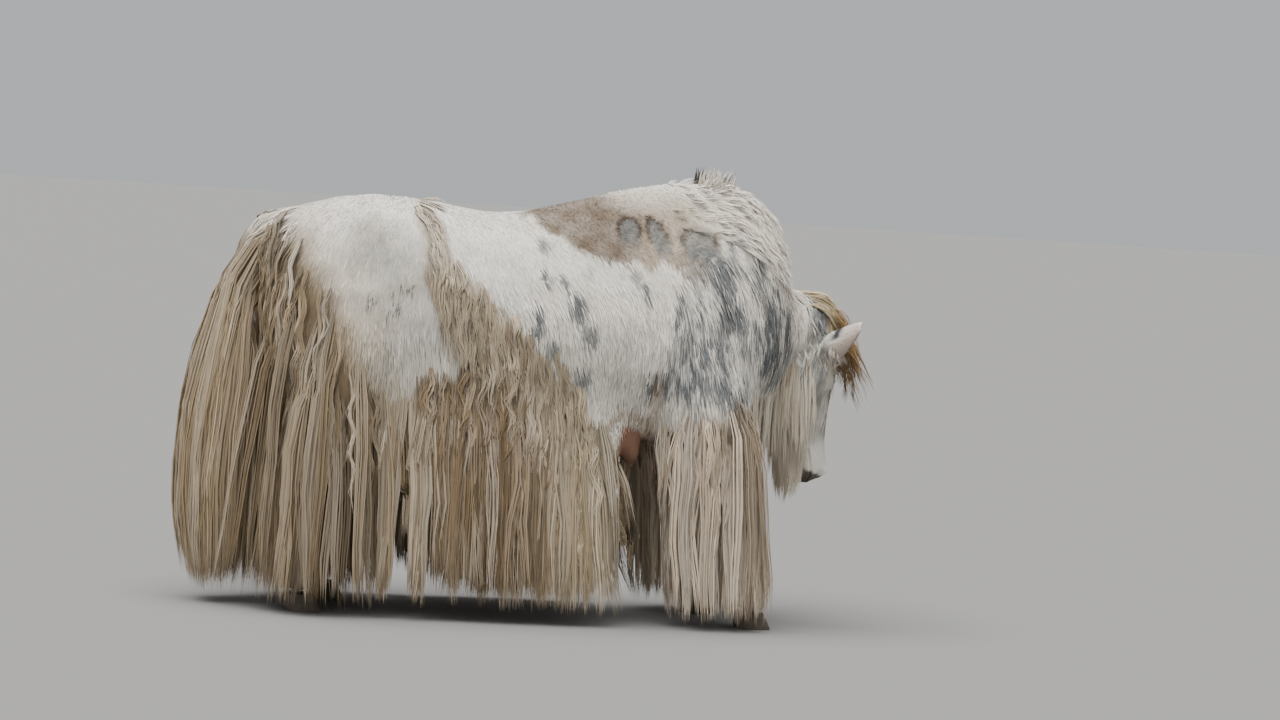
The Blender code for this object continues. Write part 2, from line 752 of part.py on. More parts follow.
def build_head(helpers):
    rings = head_rings()
    skull = object_of(loft(rings), "skull", helpers)
    stub = limb(NECK_LINE[1:], "stub", helpers)
    brows = [
        ellipsoid(HEAD_FRAME @ Vector((0.055, side * 0.098, -0.195)), (0.032, 0.026, 0.040), 0, helpers)
        for side in (-1, 1)
    ]
    pads = [
        ellipsoid(HEAD_FRAME @ Vector((0.030, side * 0.042, -0.550)), (0.036, 0.034, 0.030), 0, helpers)
        for side in (-1, 1)
    ]
    chin = ellipsoid(HEAD_FRAME @ Vector((-0.052, 0, -0.545)), (0.030, 0.045, 0.028), 0, helpers)
    head = melted([skull, stub, *brows, *pads, chin], "head", HEAD_VOXEL, 5, HEAD_FACES, helpers)
    planes = [(HEAD_FRAME @ HEAD_CUT[0], HEAD_FRAME.to_3x3() @ HEAD_CUT[1]), ((NECK_CUT_X, 0, 0), (-1, 0, 0))]
    whole, head = head, cut_out(head, "head", planes, helpers)
    bpy.data.objects.remove(whole)
    tree = tree_of(head)
    lids = []
    sockets = []
    for side in (-1, 1):
        eye = eye_centre(side)
        sockets.append(ellipsoid(eye, (EYE_RADIUS + 2 * GAP,) * 3, 0, helpers, 2))
        lids.append(lid(eye, side, helpers))
    head = boolean(head, lids, "UNION", helpers)
    mouth = [on_head(tree, x, y, z) for x, y, z in mouth_line()]
    cutters = [*sockets, tube(mouth, [0.004] * len(mouth), 4, "mouth", helpers)]
    for side in (-1, 1):
        nostril = HEAD_FRAME @ Vector((0.052, side * 0.047, -0.572))
        cutters.append(ellipsoid(nostril, (0.013, 0.008, 0.019), 25, helpers, 2))
    return keep_largest(boolean(head, cutters, "DIFFERENCE", helpers))


def eye_centre(side):
    return HEAD_FRAME @ Vector((0.048, side * 0.107, -0.225))


def lid(eye, side, helpers, around=12):
    """The rim of skin round an eye, thicker above."""
    out = (HEAD_FRAME.to_3x3() @ Vector((0.42, side * 0.90, -0.05))).normalized()
    up = (HEAD_FRAME.to_3x3() @ Vector((0, 0, 1))).normalized()
    along = out.cross(up).normalized()
    turns = [2 * math.pi * k / around for k in range(around)]
    rim = [along * (0.0205 * math.cos(a)) + up * (0.0155 * math.sin(a)) for a in turns]
    points = [eye + out * 0.0105 + place for place in rim]
    radii = [0.0050 + 0.0022 * max(math.sin(a), 0) for a in turns]
    return tube(points, radii, 5, "lid", helpers, closed=True)


def mouth_line():
    """Places round the muzzle from one corner of the mouth to the other, in the head's own frame."""
    places = []
    for k in range(13):
        turn = math.pi * k / 12
        side = math.cos(turn)
        low = math.sin(turn)
        places.append((-0.030 + 0.006 * low, 0.060 * side, -0.475 - 0.090 * low))
    return places


def finish_part(obj, name, paint, model):
    for owner in list(obj.users_collection):
        owner.objects.unlink(obj)
    model.objects.link(obj)
    obj.name = name
    obj.data.name = name
    obj.data.materials.clear()
    obj.data.materials.append(paint)
    obj.data.shade_smooth()
    obj.data.set_sharp_from_angle(angle=math.radians(40))


def settle(model):
    """Moves the whole animal so that the origin is under the middle of its box."""
    for obj in model.objects:
        obj.data.transform(Matrix.Translation(SHIFT))


def main():
    clear_scene()
    model = new_collection("yak")
    helpers = new_collection("helpers")
    paints = {
        "white coat": material("white coat", (0.62, 0.58, 0.52), 0.85),
        "tan coat": material("tan coat", (0.36, 0.29, 0.20), 0.85),
        "grey coat": material("grey coat", (0.42, 0.41, 0.38), 0.85),
        "hoof horn": material("hoof horn", (0.10, 0.08, 0.06), 0.5),
        "eye": material("eye", (0.02, 0.015, 0.01), 0.1),
    }

    pieces = [object_of(loft(torso_rings()), "torso", helpers), limb(NECK_LINE, "neck", helpers)]
    left_fore, left_hind = left_of(FORE_LIMB, LEFT_FORE_STEP), left_of(HIND_LIMB, LEFT_HIND_STEP)
    pieces += [limb(line, "limb", helpers) for line in (FORE_LIMB, HIND_LIMB, left_fore, left_hind)]
    pieces += [limb(DOCK_LINE, "dock", helpers), *(skirt_core(side, helpers) for side, _ in SIDES)]
    for (x, y, z), radii, turn in MUSCLES:
        pieces += [ellipsoid((x, side * y, z), radii, turn, helpers) for side in (-1, 1)]
    body = melted(pieces, "body", BODY_VOXEL, 14, BODY_FACES, helpers)

    nodes = part_body(body, helpers)
    bpy.data.objects.remove(body)

    head = build_head(helpers)
    for side, word in SIDES:
        nodes["ear_" + word] = ear(side, head, "ear_" + word, helpers)
        nodes["eye_" + word] = ellipsoid(eye_centre(side), (EYE_RADIUS,) * 3, 0, helpers, 2)
        feet = (("fore", FORE_LIMB[-1][0], LEFT_FORE_STEP), ("hind", HIND_LIMB[-1][0], LEFT_HIND_STEP))
        for end, foot_x, step in feet:
            for inward, claw_word in ((1, "inner"), (-1, "outer")):
                centre = (foot_x + 0.012 + (step if side > 0 else 0), side * (FOOT_Y - inward * 0.0305))
                name = f"hoof_{end}_{word}_{claw_word}"
                nodes[name] = claw(centre, -side * inward, name, helpers)
    nodes["head"] = head

    rng = random.Random(7)
    for side, word in SIDES:
        near, far = sorted((side * 0.055, side * 0.6))
        fore_x = 0.53 + (LEFT_FORE_STEP * 0.5 if side > 0 else 0)
        hind_x = -0.70 + (LEFT_HIND_STEP * 0.5 if side > 0 else 0)
        walls = Vector((HIND_CUT_X + 0.055, near, COAT_FLOOR)), Vector((FORE_CUT_X - 0.055, far, 2))
        coat(nodes, "skirt_" + word, skirt_roots(side, rng), rng, helpers, walls)
        walls = Vector((FORE_CUT_X + 0.055, near, COAT_FLOOR)), Vector((0.8, far, 2))
        roots = leg_roots(fore_x, side, FORE_TIERS, 0.05, rng)
        claws = [f"hoof_fore_{word}_inner", f"hoof_fore_{word}_outer"]
        coat(nodes, "fore_leg_" + word, roots, rng, helpers, walls, ["shoulders", *claws])
        walls = Vector((-0.87, near, COAT_FLOOR)), Vector((HIND_CUT_X - 0.055, far, 2))
        roots = leg_roots(hind_x, side, HIND_TIERS, 0.04, rng)
        claws = [f"hoof_hind_{word}_inner", f"hoof_hind_{word}_outer"]
        coat(nodes, "hind_leg_" + word, roots, rng, helpers, walls, ["rump", *claws])
    coat(nodes, "barrel", wool_roots(-1, rng), rng, helpers, others=["skirt_right", "rump", "shoulders"])
    walls = Vector((-1.3, -0.5, COAT_FLOOR)), Vector((-0.93, 0.5, 2))
    coat(nodes, "tail", tail_roots(rng), rng, helpers, walls, ["rump", "hind_leg_right", "hind_leg_left"])
    roots = rump_roots(-1, rng) + rump_roots(1, rng)
    coat(nodes, "rump", roots, rng, helpers, others=["tail", "hind_leg_right", "hind_leg_left"])
    coat(nodes, "shoulders", mane_roots(rng), rng, helpers, others=["neck", "head"])
    nearby = ["head", "shoulders", "fore_leg_right", "fore_leg_left"]
    coat(nodes, "neck", throat_roots(rng), rng, helpers, others=nearby)
    near = ["neck", "shoulders", "ear_right", "ear_left", "fore_leg_right", "fore_leg_left"]
    coat(nodes, "head", head_roots(rng), rng, helpers, others=near)

    for name, obj in nodes.items():
        if "hoof" in name:
            paint = paints["hoof horn"]
        elif "eye" in name:
            paint = paints["eye"]
        elif name in ("tail", "head") or "leg" in name or "skirt" in name:
            paint = paints["tan coat"]
        elif name in ("shoulders", "neck"):
            paint = paints["grey coat"]
        else:
            paint = paints["white coat"]
        finish_part(obj, name, paint, model)

    settle(model)
    bpy.data.collections.remove(helpers)


main()
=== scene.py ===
import json
import math

import bmesh
import bpy
import numpy as np
from mathutils import Matrix, Vector
from mathutils.bvhtree import BVHTree

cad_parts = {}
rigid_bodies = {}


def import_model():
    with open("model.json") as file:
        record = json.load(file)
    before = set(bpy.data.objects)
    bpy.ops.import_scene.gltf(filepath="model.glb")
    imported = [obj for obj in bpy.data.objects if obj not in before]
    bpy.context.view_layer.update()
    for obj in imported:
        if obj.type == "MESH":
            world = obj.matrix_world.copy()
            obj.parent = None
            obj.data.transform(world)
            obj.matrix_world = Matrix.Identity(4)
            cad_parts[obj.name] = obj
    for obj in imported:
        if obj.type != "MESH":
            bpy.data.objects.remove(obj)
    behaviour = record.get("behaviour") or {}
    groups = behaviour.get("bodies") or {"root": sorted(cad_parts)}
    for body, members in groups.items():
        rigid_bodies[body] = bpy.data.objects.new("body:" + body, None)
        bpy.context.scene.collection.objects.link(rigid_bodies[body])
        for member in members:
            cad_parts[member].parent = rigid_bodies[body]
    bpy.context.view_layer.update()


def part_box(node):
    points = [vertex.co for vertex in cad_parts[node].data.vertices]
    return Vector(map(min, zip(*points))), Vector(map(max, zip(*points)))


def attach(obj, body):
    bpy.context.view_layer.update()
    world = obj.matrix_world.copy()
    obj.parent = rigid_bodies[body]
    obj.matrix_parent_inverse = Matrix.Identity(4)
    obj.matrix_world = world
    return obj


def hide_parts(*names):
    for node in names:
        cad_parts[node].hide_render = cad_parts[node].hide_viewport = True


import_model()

# The animal's own measures in metres: +X ahead, +Y to its left, +Z up
animal = {
    "humpHeight": 1.425,
    "bodyLength": 1.695,
    "halfWidth": 0.34,
    "rearX": -0.905,
    "headLength": 0.61,
    "earLength": 0.20,
    "eyeRadius": 0.019,
    "footY": 0.185,
    "leftForeStep": -0.09,
    "leftHindStep": 0.12,
    "poll": (0.875, 0.092, 1.055),
    "headTurn": 22,
    "headTilt": -4,
}

# The head's frame: x out of the forehead, y to the animal's left, z up the face to the poll
headFrame = (Matrix.Translation(animal["poll"])
    @ Matrix.Rotation(math.radians(animal["headTurn"]), 4, "Z")
    @ Matrix.Rotation(math.radians(animal["headTilt"]), 4, "Y"))
headTurn = headFrame.to_3x3()

# The frame says where the fore hooves stand: the measures above count from there
foreClaw = {"x": 0.6988, "nodes": ("hoof_fore_right_outer", "hoof_fore_left_outer")}


def middleOf(node, axis):
    low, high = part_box(node)
    return (low[axis] + high[axis]) / 2


shift = Vector((middleOf(foreClaw["nodes"][0], 0) - foreClaw["x"],
    sum(middleOf(node, 1) for node in foreClaw["nodes"]) / 2, 0.0))
shiftRow = np.array(shift)
hang = Vector((0.06, 0.0, -1.0)).normalized()


# Small tools

def linear(hexColour):
    # sRGB hex to linear numbers
    parts = [int(hexColour[i:i + 2], 16) / 255 for i in (1, 3, 5)]
    return np.array([c / 12.92 if c <= 0.04045 else ((c + 0.055) / 1.055) ** 2.4 for c in parts])


def ramp(low, high, value):
    t = np.clip((value - low) / (high - low), 0.0, 1.0)
    return t * t * (3 - 2 * t)


def mix(first, second, share):
    share = np.asarray(share)
    if share.ndim == 1:
        share = share[:, None]
    return first + (second - first) * share


def between(first, second, share):
    # The same for plain rows of numbers
    return first + (second - first) * share


def unit(rows):
    return rows / np.maximum(np.linalg.norm(rows, axis=-1, keepdims=True), 1e-9)


cloudTables = {}


def cloud(points, size, seed):
    # Smooth random values from 0 to 1 on a lattice of that size
    if seed not in cloudTables:
        cloudTables[seed] = np.random.default_rng(seed).random((24, 24, 24))
    table = cloudTables[seed]
    at = points / size + 240.37
    low = np.floor(at).astype(int)
    part = at - low
    part = part * part * (3 - 2 * part)
    total = np.zeros(len(points))
    for corner in range(8):
        step = np.array([corner & 1, corner >> 1 & 1, corner >> 2])
        weight = np.prod(np.where(step, part, 1 - part), axis=1)
        i, j, k = ((low + step) % 24).T
        total += weight * table[i, j, k]
    return total


def toHead(points):
    # From the animal's frame to the head's
    inverse = np.array(headFrame.inverted())
    return points @ inverse[:3, :3].T + inverse[:3, 3]


def mirrored(place, side):
    return np.array((place[0], side * place[1], place[2]))


def distanceToLine(points, line):
    best = np.full(len(points), 1e9)
    for a, b in zip(line, line[1:]):
        step = b - a
        t = np.clip((points - a) @ step / (step @ step), 0, 1)
        best = np.minimum(best, np.linalg.norm(points - a - t[:, None] * step, axis=1))
    return best


def objectOf(bm, name):
    mesh = bpy.data.meshes.new(name)
    bm.to_mesh(mesh)
    bm.free()
    obj = bpy.data.objects.new(name, mesh)
    bpy.context.scene.collection.objects.link(obj)
    return obj


def settled(obj):
    # The object with its modifiers made into a plain mesh
    bpy.context.view_layer.update()
    graph = bpy.context.evaluated_depsgraph_get()
    mesh = bpy.data.meshes.new_from_object(obj.evaluated_get(graph))
    mesh.transform(obj.matrix_world)
    name = obj.name
    bpy.data.objects.remove(obj)
    made = bpy.data.objects.new(name, mesh)
    bpy.context.scene.collection.objects.link(made)
    return made


def vertexRows(mesh):
    rows = np.empty(len(mesh.vertices) * 3, np.float32)
    mesh.vertices.foreach_get("co", rows)
    return rows.reshape(-1, 3).astype(float)


def normalRows(mesh):
    rows = np.empty(len(mesh.vertices) * 3, np.float32)
    mesh.vertex_normals.foreach_get("vector", rows)
    return rows.reshape(-1, 3).astype(float)


def setVertices(mesh, rows):
    mesh.vertices.foreach_set("co", rows.astype(np.float32).ravel())
    mesh.update()


# The forms under the coat, as in the solids but finer

forms = {
    "voxel": 0.0122,
    "bodySmoothing": 58,
    "headSmoothing": 4,
    # share of the length, top, belly and widest level, half width, narrowing of the top
    "torso": (
        (0.000, 0.770, 0.690, 0.735, 0.16, 0.00),
        (0.017, 0.830, 0.606, 0.722, 0.40, 0.00),
        (0.052, 0.880, 0.549, 0.722, 0.60, 0.02),
        (0.110, 0.908, 0.493, 0.732, 0.77, 0.04),
        (0.185, 0.925, 0.451, 0.725, 0.83, 0.06),
        (0.300, 0.920, 0.425, 0.676, 0.88, 0.08),
        (0.400, 0.905, 0.410, 0.650, 0.95, 0.10),
        (0.475, 0.905, 0.398, 0.634, 0.98, 0.12),
        (0.590, 0.946, 0.387, 0.627, 1.00, 0.28),
        (0.721, 0.985, 0.384, 0.620, 0.93, 0.45),
        (0.820, 0.999, 0.387, 0.620, 0.84, 0.52),
        (0.895, 0.992, 0.408, 0.634, 0.71, 0.48),
        (0.953, 0.950, 0.451, 0.655, 0.56, 0.38),
        (0.988, 0.885, 0.520, 0.669, 0.36, 0.20),
        (1.003, 0.800, 0.590, 0.690, 0.15, 0.00),
    ),
    # share of the head's length, then forehead, jaw and half width in metres
    "head": (
        (-0.025, 0.045, -0.070, 0.058),
        (0.033, 0.082, -0.120, 0.100),
        (0.150, 0.110, -0.155, 0.122),
        (0.283, 0.116, -0.168, 0.130),
        (0.367, 0.110, -0.168, 0.122),
        (0.500, 0.098, -0.152, 0.104),
        (0.633, 0.085, -0.118, 0.086),
        (0.767, 0.077, -0.092, 0.077),
        (0.883, 0.075, -0.082, 0.082),
        (0.950, 0.062, -0.072, 0.074),
        (0.992, 0.025, -0.035, 0.040),
    ),
    # centre, radii and turn about Y in degrees
    "muscles": (
        ((0.50, 0.165, 0.93), (0.22, 0.115, 0.32), -12),
        ((-0.66, 0.150, 0.93), (0.24, 0.130, 0.33), 10),
        ((-0.53, 0.215, 0.68), (0.14, 0.095, 0.22), 0),
        ((-0.58, 0.165, 1.16), (0.17, 0.100, 0.12), 0),
        ((0.250, 0.215, 0.60), (0.060, 0.030, 0.12), 0),
        ((0.272, 0.215, 0.535), (0.048, 0.032, 0.075), 10),
    ),
    # x, y, z and radius down the right limbs
    "foreLimb": (
        (0.46, -0.16, 0.88, 0.14),
        (0.49, -0.20, 0.70, 0.155),
        (0.52, -0.205, 0.56, 0.145),
        (0.56, -0.20, 0.43, 0.115),
        (0.62, -0.19, 0.31, 0.065),
        (0.655, -0.185, 0.20, 0.042),
        (0.668, -0.185, 0.125, 0.052),
        (0.685, -0.185, 0.045, 0.046),
    ),
    "hindLimb": (
        (-0.62, -0.15, 1.00, 0.16),
        (-0.64, -0.20, 0.76, 0.165),
        (-0.69, -0.205, 0.60, 0.150),
        (-0.73, -0.20, 0.46, 0.120),
        (-0.765, -0.19, 0.33, 0.070),
        (-0.768, -0.185, 0.20, 0.046),
        (-0.764, -0.185, 0.125, 0.054),
        (-0.757, -0.185, 0.045, 0.048),
    ),
    "neck": (
        (0.42, 0.0, 1.00, 0.25),
        (0.56, 0.005, 0.965, 0.225),
        (0.67, 0.030, 0.950, 0.185),
        (0.76, 0.060, 0.945, 0.160),
        (0.86, 0.095, 0.940, 0.130),
    ),
    "dock": (
        (-0.74, 0.0, 1.18, 0.070),
        (-0.84, 0.0, 1.205, 0.062),
        (-0.92, 0.0, 1.165, 0.055),
        (-0.965, 0.0, 1.06, 0.055),
        (-0.985, 0.0, 0.92, 0.068),
        (-1.005, 0.0, 0.76, 0.078),
        (-1.020, 0.0, 0.60, 0.065),
        (-1.025, 0.0, 0.52, 0.030),
    ),
    # centre and radii of the bones and pads of the face, on both sides of the head
    "face": (
        ((0.068, 0.098, -0.188), (0.028, 0.027, 0.032)),
        ((0.034, 0.096, -0.266), (0.030, 0.025, 0.036)),
        ((0.008, 0.098, -0.222), (0.026, 0.024, 0.036)),
        ((-0.060, 0.085, -0.250), (0.060, 0.036, 0.085)),
        ((0.030, 0.078, -0.350), (0.018, 0.016, 0.070)),
        ((0.046, 0.050, -0.560), (0.026, 0.022, 0.030)),
        ((-0.002, 0.050, -0.540), (0.036, 0.028, 0.045)),
    ),
    # level, near and far side of the hair's core in each skirt
    "skirtCore": ((0.80, 0.20, 0.30), (0.62, 0.225, 0.325), (0.46, 0.245, 0.33), (0.36, 0.265, 0.315)),
    "skirtEnds": (-0.45, 0.30),
    # how deep the skin lies on the body, the head and the feet
    "coatDepth": (0.0105, 0.0035, 0.002),
}


def smoothThrough(shares, values, at):
    # Values at the given shares, on a smooth curve through the stations
    slopes = np.gradient(values, shares)
    i = np.clip(np.searchsorted(shares, at) - 1, 0, len(shares) - 2)
    step = shares[i + 1] - shares[i]
    t = (at - shares[i]) / step
    start = (2 * t**3 - 3 * t**2 + 1) * values[i] + (t**3 - 2 * t**2 + t) * step * slopes[i]
    end = (3 * t**2 - 2 * t**3) * values[i + 1] + (t**3 - t**2) * step * slopes[i + 1]
    return start + end


def loft(rings):
    # A closed skin through rings of equal length, with flat ends
    bm = bmesh.new()
    rows = [[bm.verts.new(p) for p in ring] for ring in rings]
    for low, high in zip(rows, rows[1:]):
        for i in range(len(low)):
            j = (i + 1) % len(low)
            bm.faces.new((low[i], low[j], high[j], high[i]))
    bm.faces.new(rows[0])
    bm.faces.new(rows[-1])
    bmesh.ops.recalc_face_normals(bm, faces=bm.faces)
    return bm


def torsoForm(count=68, sides=64):
    table = np.array(forms["torso"])
    shares = np.linspace(table[0, 0], table[-1, 0], count)
    top, belly, widest, half, pinch = (smoothThrough(table[:, 0], table[:, k], shares) for k in range(1, 6))
    rings = []
    for i, share in enumerate(shares):
        ring = []
        for a in np.linspace(0, 2 * math.pi, sides, endpoint=False):
            across, up = math.cos(a), math.sin(a)
            y = half[i] * animal["halfWidth"] * math.copysign(abs(across) ** 0.85, across)
            y *= 1 - pinch[i] * max(up, 0.0) ** 1.3
            reach = (top[i] - widest[i]) if up > 0 else (widest[i] - belly[i])
            z = (widest[i] + reach * up) * animal["humpHeight"]
            ring.append((animal["rearX"] + share * animal["bodyLength"], y, z))
        rings.append(ring)
    return objectOf(loft(rings), "torso")


def skullForm(count=52, sides=56):
    table = np.array(forms["head"])
    shares = np.linspace(table[0, 0], table[-1, 0], count)
    brow, jaw, half = (smoothThrough(table[:, 0], table[:, k], shares) for k in range(1, 4))
    rings = []
    for i, share in enumerate(shares):
        middle = 0.45 * brow[i] + 0.55 * jaw[i]
        ring = []
        for a in np.linspace(0, 2 * math.pi, sides, endpoint=False):
            across, out = math.cos(a), math.sin(a)
            reach = (brow[i] - middle) if out > 0 else (middle - jaw[i])
            narrow = 1 - (0.12 if out > 0 else 0.30) * abs(out) ** 1.5
            y = half[i] * narrow * math.copysign(abs(across) ** 0.8, across)
            x = middle + reach * math.copysign(abs(out) ** 0.9, out)
            ring.append(headFrame @ Vector((x, y, -share * animal["headLength"])))
        rings.append(ring)
    return objectOf(loft(rings), "skull")


def tube(line, steps=8, sides=32):
    # A round limb along a smooth line through points with radii
    table = np.array(line)
    at = np.linspace(0, len(line) - 1, (len(line) - 1) * steps + 1)
    x, y, z, radius = (smoothThrough(np.arange(len(line)), table[:, k], at) for k in range(4))
    points = [Vector(p) for p in zip(x, y, z)]
    side = None
    rings = []
    for k, point in enumerate(points):
        along = (points[min(k + 1, len(points) - 1)] - points[max(k - 1, 0)]).normalized()
        side = along.orthogonal() if side is None else side
        side = (side - along * side.dot(along)).normalized()
        other = along.cross(side)
        turns = [2 * math.pi * j / sides for j in range(sides)]
        rings.append([point + (side * math.cos(t) + other * math.sin(t)) * radius[k] for t in turns])
    return objectOf(loft(rings), "limb")


def leftOf(line, step):
    top, low = line[0][2], line[-1][2]
    return [(x + step * (top - z) / (top - low), -y, z, r) for x, y, z, r in line]


def ellipsoid(centre, radii, turn, name="form", detail=4):
    bm = bmesh.new()
    bmesh.ops.create_icosphere(bm, subdivisions=detail, radius=1.0)
    turned = Matrix.Rotation(math.radians(turn), 4, "Y")
    place = Matrix.Translation(centre) @ turned @ Matrix.Diagonal((*radii, 1.0))
    bmesh.ops.transform(bm, matrix=place, verts=bm.verts)
    return objectOf(bm, name)


def skirtForm(side):
    first, last = forms["skirtEnds"]
    rings = []
    for z, near, far in forms["skirtCore"]:
        ring = []
        for a in np.linspace(0, 2 * math.pi, 40, endpoint=False):
            across, along = math.cos(a), math.sin(a)
            x = ((first + last) / 2 - 0.01 + math.copysign(abs(along) ** 0.5, along)
                * ((last - first) / 2 - 0.05))
            y = (near + far) / 2 + math.copysign(abs(across) ** 0.7, across) * (far - near) / 2
            ring.append((x, side * y, z))
        rings.append(ring)
    return objectOf(loft(rings), "skirtCore")


def meltedForms():
    pieces = [torsoForm(), skullForm(), tube(forms["neck"]), tube(forms["dock"])]
    pieces += [tube(forms["foreLimb"]), tube(leftOf(forms["foreLimb"], animal["leftForeStep"]))]
    pieces += [tube(forms["hindLimb"]), tube(leftOf(forms["hindLimb"], animal["leftHindStep"]))]
    for side in (-1, 1):
        pieces.append(skirtForm(side))
        for (x, y, z), radii in forms["face"]:
            pieces.append(ellipsoid(headFrame @ Vector((x, side * y, z)), radii, 0))
        for (x, y, z), radii, turn in forms["muscles"]:
            pieces.append(ellipsoid((x, side * y, z), radii, turn))
    pieces.append(ellipsoid(headFrame @ Vector((-0.052, 0, -0.545)), (0.030, 0.045, 0.028), 0))
    bm = bmesh.new()
    for piece in pieces:
        bm.from_mesh(piece.data)
        bpy.data.objects.remove(piece)
    obj = objectOf(bm, "hide")
    remesh = obj.modifiers.new("skin", "REMESH")
    remesh.mode = "VOXEL"
    remesh.voxel_size = forms["voxel"]
    return settled(obj)


def keepLargest(obj):
    # Drops the hollows that melting leaves inside
    bm = bmesh.new()
    bm.from_mesh(obj.data)
    unseen = set(bm.faces)
    islands = []
    while unseen:
        front = [unseen.pop()]
        island = list(front)
        while front:
            for edge in front.pop().edges:
                for face in edge.link_faces:
                    if face in unseen:
                        unseen.remove(face)
                        front.append(face)
                        island.append(face)
        islands.append(island)
    best = max(islands, key=len)
    loose = [face for island in islands if island is not best for face in island]
    bmesh.ops.delete(bm, geom=loose, context="FACES")
    bm.to_mesh(obj.data)
    bm.free()


def headShare(points):
    # 1 on the head, 0 on the neck and body
    h = toHead(points)
    behind = -0.917 * (h[:, 0] + 0.06) + 0.397 * h[:, 2]
    return ramp(0.03, -0.03, behind) * ramp(0.66, 0.72, points[:, 0])


def smoothed(mesh, rows, iterations, strength):
    # Moves each vertex towards the middle of its neighbours
    edges = np.empty(len(mesh.edges) * 2, np.int32)
    mesh.edges.foreach_get("vertices", edges)
    a, b = edges.reshape(-1, 2).T
    count = len(rows)
    degree = np.bincount(a, minlength=count) + np.bincount(b, minlength=count)
    for _ in range(iterations):
        total = np.empty_like(rows)
        for k in range(3):
            total[:, k] = np.bincount(a, rows[b, k], count) + np.bincount(b, rows[a, k], count)
        rows = rows + (total / degree[:, None] - rows) * strength[:, None]
    return rows


def refine(obj, chosen):
    # Halves the edges of the faces whose middles are chosen
    bm = bmesh.new()
    bm.from_mesh(obj.data)
    bm.faces.ensure_lookup_table()
    middles = np.array([face.calc_center_median() for face in bm.faces])
    picked = chosen(middles)
    edges = {edge for face, take in zip(bm.faces, picked) if take for edge in face.edges}
    bmesh.ops.subdivide_edges(bm, edges=list(edges), cuts=1, use_grid_fill=True)
    wide = [face for face in bm.faces if len(face.verts) > 4]
    bmesh.ops.triangulate(bm, faces=wide)
    bm.to_mesh(obj.data)
    bm.free()
    obj.data.update()


# The face: places in the head's frame

face = {
    "eye": (0.048, 0.107, -0.225),
    # how near the eyes, the nostrils and the mouth the skin gets finer faces, and is eased after it
    "refined": ((0.048, 0.042, 0.020), (0.032, 0.026, 0.009)),
    "eased": (0.045, 0.038, 0.017),
    "eyeOut": (0.42, 0.90, -0.05),
    "opening": (0.0165, 0.0118, 0.0092),     # half width, height above and below the middle
    "lid": 0.0028,
    "cornea": 0.0018,
    "nostril": (0.054, 0.044, -0.562),
    "mouth": (0.060, -0.030, -0.490, 0.060),  # half width, depth, level of the corners and fall
}


def mouthPlaces(tree, count=33):
    # The line of the mouth on the skin, from one corner round the end of the muzzle to the other
    half, depth, level, fall = face["mouth"]
    places = []
    for k in range(count):
        turn = math.pi * k / (count - 1)
        x, y, z = depth + 0.018 * math.sin(turn), half * math.cos(turn), level - fall * math.sin(turn)
        start = headFrame @ Vector((x, y * 4, z - 0.30 * math.sin(turn)))
        look = (headFrame @ Vector((x, y * 0.3, z + 0.05 * math.sin(turn))) - start).normalized()
        places.append(tree.ray_cast(start, look)[0])
    return np.array(places)


def eyeAxes(side):
    out = (headTurn @ Vector((face["eyeOut"][0], side * face["eyeOut"][1], face["eyeOut"][2]))).normalized()
    up = headTurn @ Vector((0, 0, 1))
    up = (up - out * up.dot(out)).normalized()
    return np.array(out), np.array(up), np.array(out.cross(up))


def eyeCentre(side):
    x, y, z = face["eye"]
    return headFrame @ Vector((x, side * y, z))


def eyeDistance(points):
    # From each place to the middle of the nearer eye
    return np.minimum(*(np.linalg.norm(points - np.array(eyeCentre(side)), axis=1) for side in (-1, 1)))


def carveEyes(rows):
    radius = animal["eyeRadius"]
    half, above, below = face["opening"]
    for side in (-1, 1):
        out, up, along = eyeAxes(side)
        near = np.array(eyeCentre(side))
        local = rows - near
        close = np.where(np.linalg.norm(local, axis=1) < 0.07)[0]
        u, v, w = local[close] @ along, local[close] @ up, local[close] @ out
        close, u, v, w = (values[w > -0.02] for values in (close, u, v, w))
        around = np.hypot(u, v)
        opened = np.hypot(u / half, v / np.where(v > 0, above, below))
        lid = np.sqrt(np.maximum((radius + face["lid"]) ** 2 - around**2, 0.0))
        ball = np.sqrt(np.maximum(radius**2 - around**2, 0.0)) - 0.004
        rim = 0.0012 * np.exp(-((opened - 1.15) / 0.22) ** 2)
        target = between(ball, lid + rim, ramp(0.86, 1.06, opened))
        share = 1 - ramp(0.0165, 0.034, around)
        moved = between(w, target, share)
        fold = (np.where(v > 0, 0.0018, 0.0011)
            * np.exp(-((opened - np.where(v > 0, 1.95, 2.3)) / 0.17) ** 2))
        moved = moved - fold * ramp(1.3, 1.7, opened)
        rows[close] += (moved - w)[:, None] * out


def carveNose(rows):
    h = toHead(rows)
    x, y, z = face["nostril"]
    for side in (-1, 1):
        near = np.array((x, side * y, z))
        inward = unit(np.array((-0.30, -side * 0.55, 0.78)))
        tilt = unit(np.array((0.75, side * 0.10, 0.45)))
        local = h - near
        depth = local @ inward
        flat = local - depth[:, None] * inward
        long = flat @ tilt
        wide = np.linalg.norm(flat - long[:, None] * tilt, axis=1)
        ring = np.hypot(long / 0.0200, wide / 0.0115)
        amount = 0.020 * np.exp(-ring**4) - 0.0030 * np.exp(-((ring - 1.45) / 0.35) ** 2)
        amount[np.linalg.norm(local, axis=1) > 0.05] = 0
        rows += (amount[:, None] * inward) @ np.array(headTurn).T


def carveMouth(rows, normals, line):
    away = distanceToLine(rows, line)
    corner = np.minimum(np.linalg.norm(rows - line[0], axis=1), np.linalg.norm(rows - line[-1], axis=1))
    amount = -0.0060 * np.exp(-(away / 0.0024) ** 2) + 0.0022 * np.exp(-((away - 0.0075) / 0.0045) ** 2)
    rows += normals * (amount * ramp(0.0, 0.012, corner + 0.004))[:, None]


